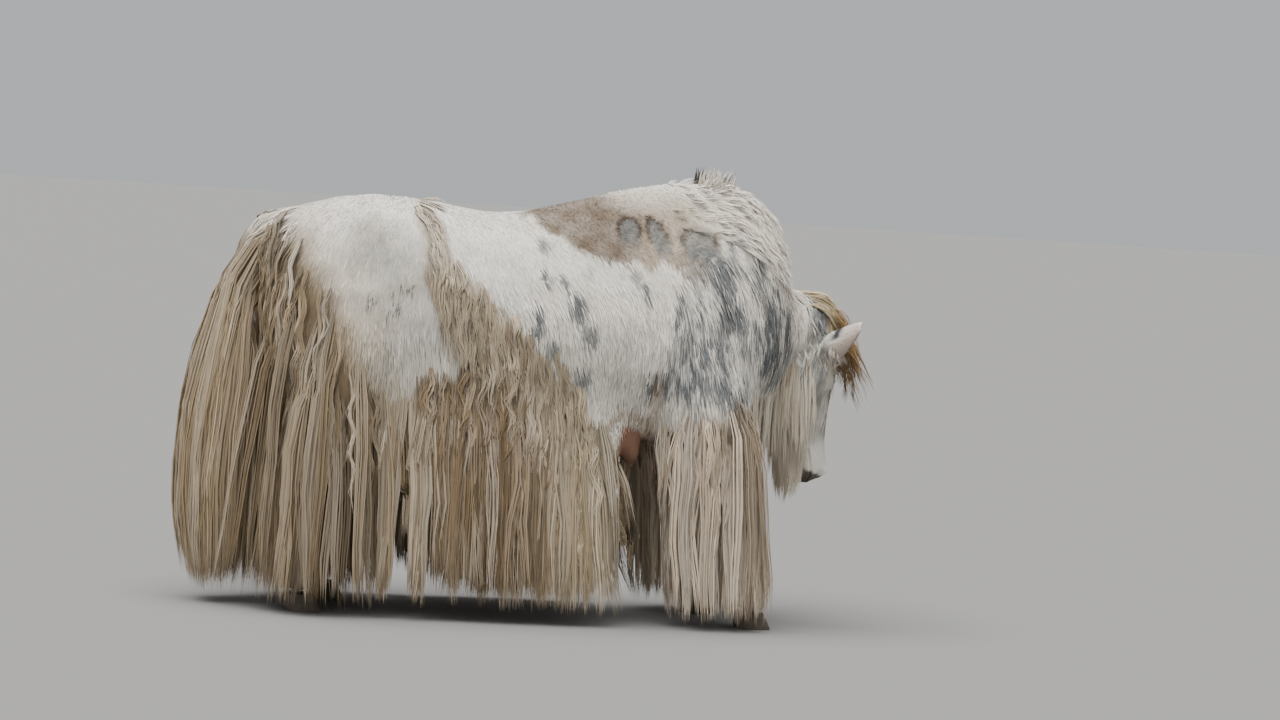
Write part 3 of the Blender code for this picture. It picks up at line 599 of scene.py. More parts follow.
def coatDepth(points):
    # How far the skin lies under the solids
    head = headShare(points)
    low = ramp(0.20, 0.10, points[:, 2])
    onBody, onHead, onFeet = forms["coatDepth"]
    return (1 - head) * (1 - low) * onBody + head * onHead + low * onFeet


# The blade of an ear, in the head's frame for the left one
earBlade = {
    "root": (-0.02, 0.118, -0.135),
    "along": (0.10, 0.93, 0.31),
    "span": 0.985,          # how long that is
    "cup": (0.80, 0.15, -0.55),
    "above": (-0.034, -0.313, 0.949),
    "halfWidth": 0.061,
    "wall": 0.005,
}


def earPlaces(h, side):
    # How far along the ear and how far above its middle each place in the head's frame lies
    rows = h - mirrored(earBlade["root"], side)
    along = rows @ mirrored(earBlade["along"], side) / earBlade["span"]
    return along, rows @ mirrored(earBlade["above"], side)


def ear(side, steps=30, across=22):
    # A cupped leaf with thin walls, folded at its root
    bm = bmesh.new()
    rows = []
    for i in range(steps + 1):
        u = i / steps
        half = earBlade["halfWidth"] * math.sin(math.pi * (0.16 + 0.80 * u)) ** 0.8
        curl = math.radians(105 - 65 * u)
        radius = half / curl * 1.25
        row = []
        for j in range(across + 1):
            bend = curl * (2 * j / across - 1)
            rib = 0.0014 * math.sin(5 * bend + 1) * math.sin(math.pi * u)
            out = animal["earLength"] * (u * 1.18 - 0.18)
            row.append(bm.verts.new((out, radius * math.sin(bend), radius * (1 - math.cos(bend)) + rib)))
        rows.append(row)
    for low, high in zip(rows, rows[1:]):
        for a, b, c, d in zip(low, low[1:], high[1:], high):
            bm.faces.new((a, b, c, d))
    obj = objectOf(bm, "ear")
    wall = obj.modifiers.new("wall", "SOLIDIFY")
    wall.thickness = earBlade["wall"]
    wall.offset = 0.0
    along = Vector(mirrored(earBlade["along"], side)).normalized()
    cup = Vector(mirrored(earBlade["cup"], side))
    cup = (cup - along * cup.dot(along)).normalized()
    turn = Matrix((along, cup.cross(along), cup)).transposed().to_4x4()
    obj.matrix_world = headFrame @ Matrix.Translation(mirrored(earBlade["root"], side)) @ turn
    obj = settled(obj)
    bm = bmesh.new()
    bm.from_mesh(obj.data)
    bmesh.ops.recalc_face_normals(bm, faces=bm.faces)
    bm.to_mesh(obj.data)
    bm.free()
    return obj


def withEars(obj):
    # The skin with both ears joined to the head
    group = bpy.data.collections.new("ears")
    bpy.context.scene.collection.children.link(group)
    for side in (-1, 1):
        leaf = ear(side)
        bpy.context.scene.collection.objects.unlink(leaf)
        group.objects.link(leaf)
    join = obj.modifiers.new("ears", "BOOLEAN")
    join.operation = "UNION"
    join.solver = "MANIFOLD"
    join.operand_type = "COLLECTION"
    join.collection = group
    obj = settled(obj)
    for leaf in list(group.objects):
        bpy.data.objects.remove(leaf)
    bpy.data.collections.remove(group)
    return obj


def buildHide():
    obj = meltedForms()
    keepLargest(obj)
    rows = vertexRows(obj.data)
    head = headShare(rows)
    count = forms["headSmoothing"]
    rows = smoothed(obj.data, rows, count, np.full(len(rows), 0.5))
    rows = smoothed(obj.data, rows, forms["bodySmoothing"] - count, 0.5 * (1 - head))
    setVertices(obj.data, rows)
    refine(obj, lambda middles: headShare(middles) > 0.5)
    rows = vertexRows(obj.data)
    rows = smoothed(obj.data, rows, 3, 0.5 * headShare(rows))
    setVertices(obj.data, rows)
    normals = normalRows(obj.data)
    rows -= normals * coatDepth(rows)[:, None]
    lumps = (cloud(rows, 0.055, 3) - 0.5) * 0.006 + (cloud(rows, 0.16, 4) - 0.5) * 0.010
    rows += normals * (lumps * (1 - headShare(rows)) * ramp(0.2, 0.5, rows[:, 2]))[:, None]
    setVertices(obj.data, rows)
    bm = bmesh.new()
    bm.from_mesh(obj.data)
    line = mouthPlaces(BVHTree.FromBMesh(bm))
    bm.free()
    eyes = [np.array(eyeCentre(side)) for side in (-1, 1)]
    x, y, z = face["nostril"]
    noses = [np.array(headFrame @ Vector((x, side * y, z))) for side in (-1, 1)]

    def nearFeatures(middles, eyeReach, noseReach, mouthReach):
        picked = distanceToLine(middles, line) < mouthReach
        for place in eyes:
            picked |= np.linalg.norm(middles - place, axis=1) < eyeReach
        for place in noses:
            picked |= np.linalg.norm(middles - place, axis=1) < noseReach
        return picked

    for reaches in face["refined"]:
        refine(obj, lambda middles: nearFeatures(middles, *reaches))
    rows = vertexRows(obj.data)
    close = nearFeatures(rows, *face["eased"])
    rows = smoothed(obj.data, rows, 3, 0.5 * close)
    setVertices(obj.data, rows)
    normals = normalRows(obj.data)
    carveMouth(rows, normals, line)
    carveNose(rows)
    carveEyes(rows)
    setVertices(obj.data, rows)
    return withEars(obj), line


def unwrap(obj):
    # One unwrap of the skin's own shape, which the coat's patches follow
    bpy.context.view_layer.objects.active = obj
    obj.select_set(True)
    obj.data.uv_layers.new(name="OFBake")
    bpy.ops.object.mode_set(mode="EDIT")
    bpy.ops.mesh.select_all(action="SELECT")
    bpy.ops.uv.smart_project(angle_limit=math.radians(62), island_margin=0.002)
    bpy.ops.object.mode_set(mode="OBJECT")


# Markings: colours by place, shared by the skin and the coat

shades = {name: linear(value) for name, value in {
    "white": "#DCD7CD",
    "cream": "#DCD2C2",
    "ash": "#B9B5A9",
    "tan": "#756349",
    "curl": "#695842",
    "straw": "#A8987E",
    "rose": "#8C7354",
    "brush": "#776143",
    "umber": "#5E523F",
    "taupe": "#524131",
    "sand": "#A6957F",
    "slate": "#65686A",
    "soot": "#4A4D4F",
    "blond": "#C0AC85",
    "russet": "#8A6A48",
    "cheek": "#B2AEA1",
    "nose": "#3A3631",
    "pinkSkin": "#9C7663",
    "rim": "#5A4A3E",
    "earInside": "#A98F80",
}.items()}

# Heights of the long coat's upper edge along the side, x then z
skirtHairline = ((-0.60, 0.60), (-0.52, 0.63), (-0.47, 0.69), (-0.44, 0.77), (-0.40, 0.815),
                 (-0.29, 0.835), (-0.19, 0.86), (-0.13, 0.855), (0.0, 0.735), (0.085, 0.68), (0.15, 0.62),
                 (0.22, 0.53), (0.30, 0.50))
legHairline = ((0.30, 0.60), (0.34, 0.63), (0.45, 0.69), (0.55, 0.72), (0.70, 0.74))

# Rear of this line, z then x, the thigh carries the long hair that hangs beside the tail
thighEdge = ((0.46, -0.486), (0.587, -0.511), (0.708, -0.564), (0.828, -0.635), (0.947, -0.684),
             (1.065, -0.745), (1.153, -0.79), (1.227, -0.813), (1.26, -0.86))

woolStrip = ((-0.435, 1.275), (-0.405, 1.19), (-0.39, 1.117), (-0.343, 1.058), (-0.295, 1.0),
             (-0.247, 0.94), (-0.196, 0.88), (-0.129, 0.82), (-0.061, 0.76), (0.0, 0.70))

humpPatch = {
    "low": ((-0.16, 1.30), (-0.075, 1.268), (-0.004, 1.216), (0.088, 1.175), (0.167, 1.145), (0.33, 1.150),
            (0.41, 1.138), (0.475, 1.16), (0.53, 1.215)),
    "high": ((-0.16, 1.33), (0.0, 1.40), (0.25, 1.42), (0.34, 1.385), (0.45, 1.37), (0.50, 1.33),
             (0.53, 1.25)),
    "arches": ((0.226, 1.238, 0.034, 0.044, 0.0), (0.322, 1.222, 0.030, 0.060, 0.35),
               (0.450, 1.215, 0.052, 0.052, 0.0)),
}

# x, z, size and strength of the grey spots
spots = ((-0.060, 1.182, 0.020, 0.6), (-0.060, 1.092, 0.015, 1.3), (-0.006, 1.080, 0.014, 0.9),
         (-0.083, 0.985, 0.022, 0.9), (-0.085, 0.945, 0.018, 0.8), (0.036, 1.015, 0.024, 1.0),
         (0.083, 0.939, 0.028, 0.6), (-0.029, 0.892, 0.026, 0.6), (-0.088, 0.865, 0.018, 0.7),
         (0.235, 1.105, 0.020, 0.5), (0.268, 1.062, 0.016, 1.0), (0.07, 0.80, 0.025, 0.6),
         (0.075, 0.73, 0.02, 0.5))

# x, z, width, height and strength of the blue-grey clouds on the shoulder and neck
clouds = ((0.385, 1.045, 0.020, 0.030, 1.0), (0.39, 0.975, 0.030, 0.040, 0.8),
          (0.545, 1.03, 0.045, 0.045, 0.9), (0.355, 0.795, 0.065, 0.040, 1.25),
          (0.445, 0.815, 0.040, 0.045, 1.0), (0.515, 0.85, 0.035, 0.07, 0.9),
          (0.575, 0.735, 0.026, 0.040, 1.3), (0.46, 0.93, 0.07, 0.06, 0.8),
          (0.43, 0.70, 0.035, 0.030, 0.5), (0.60, 0.80, 0.025, 0.06, 0.7), (0.385, 0.86, 0.05, 0.05, 0.7),
          (0.62, 0.955, 0.03, 0.06, 0.9), (0.515, 1.13, 0.045, 0.055, 1.1),
          (0.555, 1.20, 0.018, 0.075, 0.7), (0.465, 1.16, 0.07, 0.035, 0.8),
          (0.70, 1.07, 0.030, 0.050, 1.3), (0.755, 1.02, 0.040, 0.055, 1.1),
          (0.68, 0.97, 0.018, 0.09, 1.2), (0.72, 0.90, 0.022, 0.080, 1.3), (0.80, 0.97, 0.020, 0.06, 0.8),
          (0.775, 0.87, 0.03, 0.05, 0.6), (0.655, 1.21, 0.014, 0.035, 1.0),
          (0.64, 1.13, 0.022, 0.030, 0.8), (0.50, 1.005, 0.025, 0.03, 0.7))

dirtSpecks = ((-0.607, 1.000), (-0.598, 0.988), (-0.590, 0.977), (-0.593, 0.966), (-0.604, 0.978),
              (-0.530, 0.965), (-0.520, 0.972), (-0.508, 0.975), (-0.545, 0.955), (-0.500, 0.982),
              (-0.515, 0.960), (-0.535, 1.022), (-0.527, 1.030), (-0.478, 1.020), (-0.487, 1.030),
              (-0.470, 1.028), (-0.505, 1.030), (-0.482, 1.012))


def alongX(table, x):
    rows = np.array(table)
    return np.interp(x, rows[:, 0], rows[:, 1])


def stripDistance(x, z, line):
    points = np.column_stack([x, z])
    return distanceToLine(points, np.array(line))


def bareShare(points):
    # The bare fold behind each elbow
    x, z = points[:, 0], points[:, 2]
    return ramp(1.2, 0.8, np.hypot((x - 0.268) / 0.056, (z - 0.555) / 0.074))


def longHairMarkings(made, points, wobble, wide, broad):
    # Long hair: tan behind and on the skirt, paler to the front
    x, z = points[:, 0], points[:, 2]
    tail = ramp(-0.86, -0.93, x + wobble) * ramp(1.20, 1.08, z)
    edge = np.interp(z, [row[0] for row in thighEdge], [row[1] for row in thighEdge])
    rear = ramp(0.045, -0.075, x - edge + wobble) * ramp(1.27, 1.16, z)
    skirt = ramp(0.05, -0.05, z - alongX(skirtHairline, x) + wobble) * ramp(0.34, 0.28, x)
    warm = ramp(0.20, 0.0, x - edge + 2 * wobble) * ramp(1.22, 1.02, z) * ramp(0.50, 0.62, z)
    made = mix(made, mix(shades["straw"], shades["sand"], 0.5), 0.60 * warm)
    leg = ramp(0.05, -0.07, z - alongX(legHairline, x) + wobble) * ramp(0.27, 0.33, x)
    longTone = mix(shades["tan"][None, :], shades["curl"],
        0.75 * ramp(-0.50, -0.30, x) * ramp(0.10, -0.15, x))
    longTone = mix(longTone, shades["straw"], 0.9 * ramp(-0.15, 0.18, x + 2 * wobble))
    longTone = mix(longTone, shades["umber"], 0.45 * ramp(0.45, 0.10, z) * ramp(0.2, -0.1, x))
    made = mix(made, longTone, np.maximum(skirt, rear * 0.9))
    edges = np.maximum(ramp(0.37, 0.31, x), ramp(0.655, 0.70, x))
    legTone = mix(shades["rose"][None, :], shades["cream"], np.clip(0.05 + 0.4 * broad + 0.6 * edges, 0, 1))
    made = mix(made, legTone, leg)
    tailTone = mix(shades["straw"][None, :], shades["brush"], 0.35 + 0.5 * wide)
    made = mix(made, mix(tailTone, shades["umber"], 0.25 * ramp(0.6, 0.2, z)), tail)
    return made


def humpMarkings(made, points, wobble, fine, wide, broad, hairs):
    # The worn patch on the hump, with its clipped arches
    x, y, z = points.T
    low, high = alongX(humpPatch["low"], x), alongX(humpPatch["high"], x)
    scallop = 0.012 * np.abs(np.sin(x * 38))
    inside = (ramp(-0.010, 0.014, z - low + scallop + wobble * 0.5)
        * ramp(0.03, -0.03, z - high + wobble * 0.6))
    inside = (inside * ramp(-0.15, -0.07, x) * ramp(0.54, 0.50, x)
        * ramp(0.06, -0.01, y - 0.25 * ramp(0, 1, broad)))
    tone = mix(shades["taupe"][None, :], shades["sand"],
        np.clip(ramp(0.18, 0.34, x + wobble) * 0.65 + 0.3 * fine, 0, 1))
    tone = mix(tone, shades["cream"], 0.55 * ramp(1.27, 1.36, z) * ramp(0.12, 0.24, x))
    made = mix(made, tone, inside * (0.75 + 0.25 * wide))
    for archX, archZ, wideX, tall, slant in humpPatch["arches"]:
        dx, dz = x - archX + slant * (z - archZ), z - archZ
        shape = (np.hypot(dx / wideX, np.where(dz > 0, dz, dz * 0.6) / tall) + (fine - 0.5) * 0.22
            + (hairs - 0.5) * 0.25)
        fill = mix(shades["slate"], shades["ash"], 0.25) * (0.64 + 0.5 * (hairs[:, None] - 0.5))
        made = mix(made, fill,
            0.85 * ramp(1.10, 0.88, shape) * ramp(-1.5 * tall, -0.3 * tall, dz) * (y < 0.02))
        rim = np.exp(-((shape - 1.08) / 0.17) ** 2) * ramp(-0.03, 0.005, dz) * (y < 0.02)
        made = mix(made, shades["rim"] * 0.45, np.clip(1.1 * rim, 0, 0.95))
    return made


def cloudMarkings(made, points, wobble, wide):
    # Blue-grey clouds and spots, broken into streaks along the hair
    x, z = points[:, 0], points[:, 2]
    streak = cloud(points * np.array([1.0, 1.0, 0.30]), 0.011, 14)
    streak = np.clip((streak - 0.5) * 1.9 + 0.62, 0, 1.15)
    for cx, cz, wideX, tall, strength in clouds:
        shape = np.hypot((x - cx) / wideX, (z - cz) / tall) * 0.72
        share = strength * ramp(1.15, 0.35, shape + wobble * 6)
        made = mix(made, mix(shades["slate"], shades["soot"], 0.60),
            np.clip(share * streak * 1.35, 0, 0.95))
    mottled = ramp(0.36, 0.44, x) * ramp(0.70, 0.62, x) * ramp(0.66, 0.76, z) * ramp(1.22, 1.10, z)
    onNeck = ramp(0.60, 0.66, x) * ramp(0.84, 0.78, x) * ramp(0.78, 0.88, z) * ramp(1.25, 1.15, z)
    mottled = np.maximum(mottled, onNeck)
    mottles = (ramp(0.46, 0.68, cloud(points * np.array([1.0, 1.0, 0.35]), 0.020, 18))
        * ramp(0.35, 0.55, wide))
    made = mix(made, mix(shades["slate"], shades["soot"], 0.6), 0.88 * mottled * mottles)
    for cx, cz, size, strength in spots:
        shape = np.hypot((x - cx) / size, (z - cz) / (size * 1.35))
        made = mix(made, mix(shades["slate"], shades["soot"], 0.5),
            np.clip(1.35 * strength * ramp(1.3, 0.5, shape + wobble * 5), 0, 0.92))
    return made


def foldMarkings(made, points, wide):
    # Bare fold behind the elbow, russet above it
    x, z = points[:, 0], points[:, 2]
    bare = np.hypot((x - 0.268) / 0.062, (z - 0.552) / 0.090)
    flesh = mix(shades["pinkSkin"][None, :], shades["taupe"],
        0.25 + 0.5 * ramp(0.58, 0.50, z) + 0.5 * (wide - 0.5))
    made = mix(made, mix(shades["tan"], shades["umber"], 0.4),
        ramp(1.9, 1.2, bare) * ramp(0.58, 0.50, z) * 0.8)
    made = mix(made, flesh, ramp(1.25, 0.8, bare + (wide - 0.5) * 0.5))
    arch = np.exp(-((np.hypot((x - 0.235) / 0.085, (z - 0.585) / 0.105) - 1.05) / 0.12) ** 2) * (z > 0.60)
    made = mix(made, mix(shades["tan"], shades["russet"], 0.35), 0.8 * arch)
    streakLow = np.hypot((x - 0.325) / 0.022, (z - 0.74) / 0.13)
    made = mix(made, shades["russet"], 0.35 * ramp(1.1, 0.5, streakLow))
    return made


def headMarkings(points, fine, wide):
    h = toHead(points)
    hx, hy, hz = h.T
    streak = cloud(points * np.array([1.0, 1.0, 0.30]), 0.010, 16)
    made = mix(shades["cheek"][None, :], shades["white"], 0.65 * wide + 0.2)
    grey = ramp(0.40, 0.66, streak) * ramp(-0.40, -0.24, hz) * ramp(0.07, 0.03, hx)
    made = mix(made, mix(shades["slate"], shades["soot"], 0.2), 0.55 * grey)
    poll = ramp(0.0, 0.05, hx) * ramp(-0.30, -0.16, hz)
    made = mix(made, shades["blond"], 0.9 * poll)
    band = ramp(-0.05, -0.02, hx) * ramp(0.03, 0.0, hx) * ramp(-0.13, -0.08, hz)
    made = mix(made, mix(shades["slate"], shades["soot"], 0.35), 0.8 * band)
    front = (ramp(0.030, 0.065, hx + 0.02 * (wide - 0.5)) * ramp(-0.18, -0.26, hz)
        * ramp(-0.51, -0.43, hz + 0.09 * (wide - 0.5)))
    made = mix(made, mix(shades["russet"], shades["tan"], 0.45), 0.8 * front)
    jaw = ramp(-0.03, -0.11, hx) * ramp(-0.20, -0.30, hz)
    made = mix(made, mix(shades["straw"], shades["cream"], 0.5), 0.75 * jaw)
    made = mix(made, shades["white"] * 1.10, ramp(-0.44, -0.49, hz))
    # Dark nose, lips and chin: higher at the chin than in front
    edge = -0.548 - 0.50 * (hx + 0.03) + 0.012 * (fine - 0.5) - 0.25 * np.maximum(np.abs(hy) - 0.045, 0)
    made = mix(made, mix(shades["nose"], shades["umber"], 0.25), 0.92 * ramp(0.006, -0.006, hz - edge))
    pad = np.hypot(hy / 0.046, (hz + 0.585) / 0.034) + 0.25 * (fine - 0.5)
    made = mix(made, mix(shades["nose"], shades["pinkSkin"], 0.35),
        0.75 * ramp(1.15, 0.75, pad) * ramp(0.02, 0.04, hx))
    for side in (-1, 1):
        # Round the eye, and the dark hair at the root of the ear
        away = np.linalg.norm(h - np.array((face["eye"][0], side * face["eye"][1], face["eye"][2])), axis=1)
        made = mix(made, shades["nose"], 0.8 * ramp(0.0225, 0.0175, away + 0.003 * (fine - 0.5)))
        # The nostrils' hollows are painted near black: their dark skin darkened further with painted shade
        x, y, z = face["nostril"]
        pit = np.linalg.norm(h - np.array((x - 0.004, side * (y - 0.006), z + 0.012)), axis=1)
        made = mix(made, shades["soot"] * 0.25, 0.9 * ramp(0.020, 0.011, pit))
        along, above = earPlaces(h, side)
        reach = ramp(0.02, 0.05, along)
        tone = mix(shades["white"][None, :], shades["earInside"], ramp(0.08, 0.14, along) * 0.45)
        tone = mix(tone, shades["earInside"], 0.45 * ramp(-0.012, -0.032, above))
        dark = np.exp(-((along - 0.078) / 0.022) ** 2) * ramp(-0.020, -0.004, above + 0.01 * (fine - 0.5))
        made = mix(made, mix(tone, shades["soot"] * 0.35, np.minimum(1.2 * dark, 0.97)), reach)
    return made


def markings(points):
    # Linear colour at each place on the skin, in the animal's frame
    x, y, z = points.T
    fine, wide, broad = cloud(points, 0.018, 11), cloud(points, 0.05, 12), cloud(points, 0.14, 13)
    wobble = (wide - 0.5) * 0.06 + (fine - 0.5) * 0.02
    right = ramp(0.03, -0.03, y)
    hairs = cloud(points * np.array([1.0, 1.0, 0.22]), 0.0065, 19)
    made = mix(shades["white"][None, :], shades["cream"], 0.5 * broad)
    made = mix(made, shades["ash"],
        0.75 * ramp(0.40, 0.70, broad) * ramp(-0.30, -0.45, x) * ramp(1.32, 1.22, z))
    made = mix(made, shades["sand"], 0.30 * ramp(-0.66, -0.80, x + wobble) + 0.12 * ramp(0.55, 0.75, wide))
    made = mix(made, shades["ash"], 0.55 * ramp(1.05, 0.78, z + wobble) + 0.10 * (wide > 0.62))

    made = longHairMarkings(made, points, wobble, wide, broad)

    # Felted wool that is being shed, on the right side
    felt = stripDistance(x, z, woolStrip)
    width = 0.035 + 0.05 * ramp(1.25, 0.85, z)
    made = mix(made, mix(shades["sand"], shades["curl"], 0.15),
        0.8 * ramp(width, width - 0.03, felt + wobble) * right)

    made = humpMarkings(made, points, wobble, fine, wide, broad, hairs)
    made = cloudMarkings(made, points, wobble, wide)
    made = made * (1 + 0.24 * (hairs - 0.5))[:, None]

    # Cream crest and mane along the front of the hump
    stations = np.array(forms["torso"])
    topline = smoothThrough(animal["rearX"] + stations[:, 0] * animal["bodyLength"],
        stations[:, 1] * animal["humpHeight"], np.clip(x, -0.9, 0.79))
    crest = ramp(0.46, 0.58, x + 0.6 * (topline - z)) * ramp(0.22, 0.12, topline - z + wobble)
    crest = crest * ramp(0.20, 0.12, np.abs(y))
    made = mix(made, shades["cream"], 0.92 * crest)
    made = mix(made, shades["white"], ramp(0.035, 0.012, topline - z) * ramp(0.1, 0.25, x) * 0.7)
    flecks = (cloud(points, 0.009, 15) > 0.86) & (z > topline - 0.07) & (x < 0.1) & (x > -0.62)
    made = mix(made, shades["slate"], 0.45 * flecks)

    # Specks of dried dirt on the thigh, in three loose groups
    for cx, cz in dirtSpecks:
        made = mix(made, shades["soot"], 0.95 * ramp(0.0068, 0.0042, np.hypot(x - cx, z - cz)) * (y < 0))

    made = foldMarkings(made, points, wide)
    return mix(made, headMarkings(points, fine, wide), headShare(points))


# Where each kind of coat grows, and how its tufts lie

def zonesOf(points):
    x, y, z = points.T
    head = headShare(points)
    uneven = (cloud(points, 0.045, 41) - 0.5) * 0.11
    edge = np.interp(z, [row[0] for row in thighEdge], [row[1] for row in thighEdge]) + uneven * 0.5
    tail = (x < -0.905) & (z < 1.24)
    rear = (x < edge) & (z < 1.24) & ~tail
    skirt = (z + uneven < alongX(skirtHairline, x)) & (x > -0.44) & (x < 0.275) & (np.abs(y) > 0.19)
    hindLeg = (x < -0.46) & (z + uneven < alongX(skirtHairline, x)) & ~tail
    foreLeg = (x > 0.325) & (z + uneven < alongX(legHairline, x)) & (x < 0.80)
    bare = bareShare(points) > 0.5
    return {"head": head > 0.5, "tail": tail, "hind": rear | hindLeg, "skirt": skirt & ~bare,
        "fore": foreLeg & (head < 0.5), "bare": bare, "body": (head < 0.5) & ~tail & ~bare}


class Hide:
    # The finished skin as arrays, to root the coat on
    def __init__(self, obj):
        mesh = obj.data
        mesh.calc_loop_triangles()
        count = len(mesh.loop_triangles)
        self.corners = np.empty(count * 3, np.int32)
        mesh.loop_triangles.foreach_get("vertices", self.corners)
        self.corners = self.corners.reshape(-1, 3)
        loops = np.empty(count * 3, np.int32)
        mesh.loop_triangles.foreach_get("loops", loops)
        uv = np.empty(len(mesh.loops) * 2, np.float32)
        mesh.uv_layers["OFBake"].data.foreach_get("uv", uv)
        self.uv = uv.reshape(-1, 2)[loops.reshape(-1, 3)]
        self.rows = vertexRows(mesh)
        self.normals = normalRows(mesh)
        a, b, c = (self.rows[self.corners[:, k]] for k in range(3))
        self.areas = np.linalg.norm(np.cross(b - a, c - a), axis=1) / 2
        self.middles = (a + b + c) / 3
        self.tree = BVHTree.FromPolygons(self.rows.tolist(), self.corners.tolist(), all_triangles=True)

    def scatter(self, density, count, rng):
        # Roots spread evenly, in proportion to area times density
        weight = np.cumsum(self.areas * density)
        picks = (np.arange(count) + rng.random(count)) / count * weight[-1]
        chosen = np.minimum(np.searchsorted(weight, picks), len(weight) - 1)
        u, v = rng.random(count), rng.random(count)
        over = u + v > 1
        u, v = np.where(over, 1 - u, u), np.where(over, 1 - v, v)
        shares = np.column_stack([1 - u - v, u, v])
        blend = lambda values: np.einsum("nk,nkd->nd", shares, values)
        corners = self.corners[chosen]
        return {"place": blend(self.rows[corners]), "normal": unit(blend(self.normals[corners])),
            "uv": blend(self.uv[chosen])}


def drape(hide, roots, flow, lengths, steps, stand, hug, rise, walls=None, sink=0.004):
    # Paths that leave the skin, fall along the flow and rest on what is below them
    place, normal = roots["place"], roots["normal"]
    flow = np.broadcast_to(flow, place.shape)
    rise = np.broadcast_to(rise, len(place))[:, None]
    tangent = unit(flow - normal * np.sum(flow * normal, axis=1, keepdims=True))
    heading = unit(tangent * (1 - rise) + normal * rise)
    path = [place - normal * sink]
    outs = [normal]
    here = place
    for k in range(1, steps + 1):
        there = here + heading * (lengths / steps)[:, None]
        near = np.empty_like(there)
        facing = np.empty_like(there)
        for i, point in enumerate(there.tolist()):
            found, way, _, _ = hide.tree.find_nearest(point)
            near[i] = found
            facing[i] = way
        height = np.sum((there - near) * facing, axis=1)
        lift = stand * min(1.0, 0.5 + k / steps)
        low = height < lift
        there[low] = near[low] + facing[low] * lift[low, None]
        if hug:
            high = height > lift * 1.6
            there[high] = near[high] + facing[high] * lift[high, None] * 1.6
        if walls is not None:
            there = np.clip(there, walls[0], walls[1])
        moved = unit(there - here)
        if hug:
            tangent = unit(flow - facing * np.sum(flow * facing, axis=1, keepdims=True))
            heading = unit(moved * 0.3 + tangent * 0.7)
        else:
            heading = unit(moved * 0.45 + flow * 0.55)
        path.append(there)
        closeness = np.exp(-np.maximum(height, 0) / 0.05)[:, None]
        outs.append(unit(facing * closeness + outs[-1] * (1 - closeness)))
        here = there
    return np.stack(path, axis=1), np.stack(outs, axis=1)


def strandMesh(name, path, outs, widths, shape, colours, uv, keel=0.45, roundness=0.4):
    # Closed three-sided strands: rings along each path and a point at its end
    count, points = path.shape[:2]
    rings = points - 1
    along = np.empty_like(path)
    along[:, 1:-1] = path[:, 2:] - path[:, :-2]
    along[:, 0] = path[:, 1] - path[:, 0]
    along[:, -1] = path[:, -1] - path[:, -2]
    along = unit(along)
    side = unit(np.cross(along, outs))
    ridge = np.cross(side, along)
    half = (widths[:, None] * np.asarray(shape)[None, :rings] / 2)[:, :, None]
    base, wide, tall = path[:, :rings], side[:, :rings] * half, ridge[:, :rings] * half
    corners = np.stack([base + wide, base - wide, base + tall * (2 * keel)], axis=2)
    block = rings * 3 + 1
    rows = np.empty((count, block, 3))
    rows[:, :-1] = corners.reshape(count, -1, 3)
    rows[:, -1] = path[:, -1]
    quads = []
    for r in range(rings - 1):
        for i in range(3):
            j = (i + 1) % 3
            quads.append((3 * r + i, 3 * r + j, 3 * r + 3 + j, 3 * r + 3 + i))
    last = 3 * (rings - 1)
    threes = [(last + i, last + (i + 1) % 3, block - 1) for i in range(3)] + [(0, 2, 1)]
    order = np.array([v for polygon in quads + threes for v in polygon])
    # Soft light on the back of each strand: its normals lean only a little to the sides
    lean = np.zeros((count, block, 3))
    lean[:, :-1] = np.stack([side[:, :rings], -side[:, :rings], np.zeros_like(wide)],
        axis=2).reshape(count, -1, 3)
    top = np.concatenate([np.repeat(ridge[:, :rings], 3, axis=1), ridge[:, -1:]], axis=1)
    soft = unit(top + lean * roundness)
    under = np.array([k % 3 == 0 for k in range(len(quads)) for _ in range(4)]
        + [k == 0 for k in range(4) for _ in range(3)])
    normals = np.where(under[None, :, None], -top[:, order], soft[:, order])
    blocks = (np.arange(count) * block)[:, None]
    loops = (order[None, :] + blocks).ravel()
    sizes = np.tile(np.array([4] * len(quads) + [3] * len(threes)), count)
    mesh = bpy.data.meshes.new(name)
    mesh.vertices.add(count * block)
    mesh.vertices.foreach_set("co", (rows.reshape(-1, 3) + shiftRow).astype(np.float32).ravel())
    mesh.loops.add(len(loops))
    mesh.loops.foreach_set("vertex_index", loops.astype(np.int32))
    mesh.polygons.add(len(sizes))
    mesh.polygons.foreach_set("loop_start", (np.cumsum(sizes) - sizes).astype(np.int32))
    mesh.update(calc_edges=True)
    mesh.shade_smooth()
    # Each strand is a patch 0.003 across at its root's place on the skin's unwrap
    level = np.append(np.repeat(np.arange(rings) / rings, 3), 1.0)
    turn = np.append(np.tile(np.array((0.0, 1.0, 0.5)), rings), 0.5)
    patch = np.clip(uv, 0.002, 0.998)[:, None, :] + (np.column_stack([turn, level]) - 0.5)[None] * 0.003
    layer = mesh.uv_layers.new(name="OFBake")
    layer.data.foreach_set("uv", patch.reshape(-1, 2)[loops].astype(np.float32).ravel())
    tint = np.ones((count, block, 4))
    share = np.append(np.repeat(np.arange(rings), 3), rings)
    tint[:, :, :3] = colours[:, share]
    attribute = mesh.color_attributes.new("coatColour", "FLOAT_COLOR", "POINT")
    attribute.data.foreach_set("color", tint.astype(np.float32).ravel())
    facing = mesh.attributes.new("custom_normal", "FLOAT_VECTOR", "CORNER")
    facing.data.foreach_set("vector", normals.astype(np.float32).ravel())
    obj = bpy.data.objects.new(name, mesh)
    bpy.context.scene.collection.objects.link(obj)
    return obj


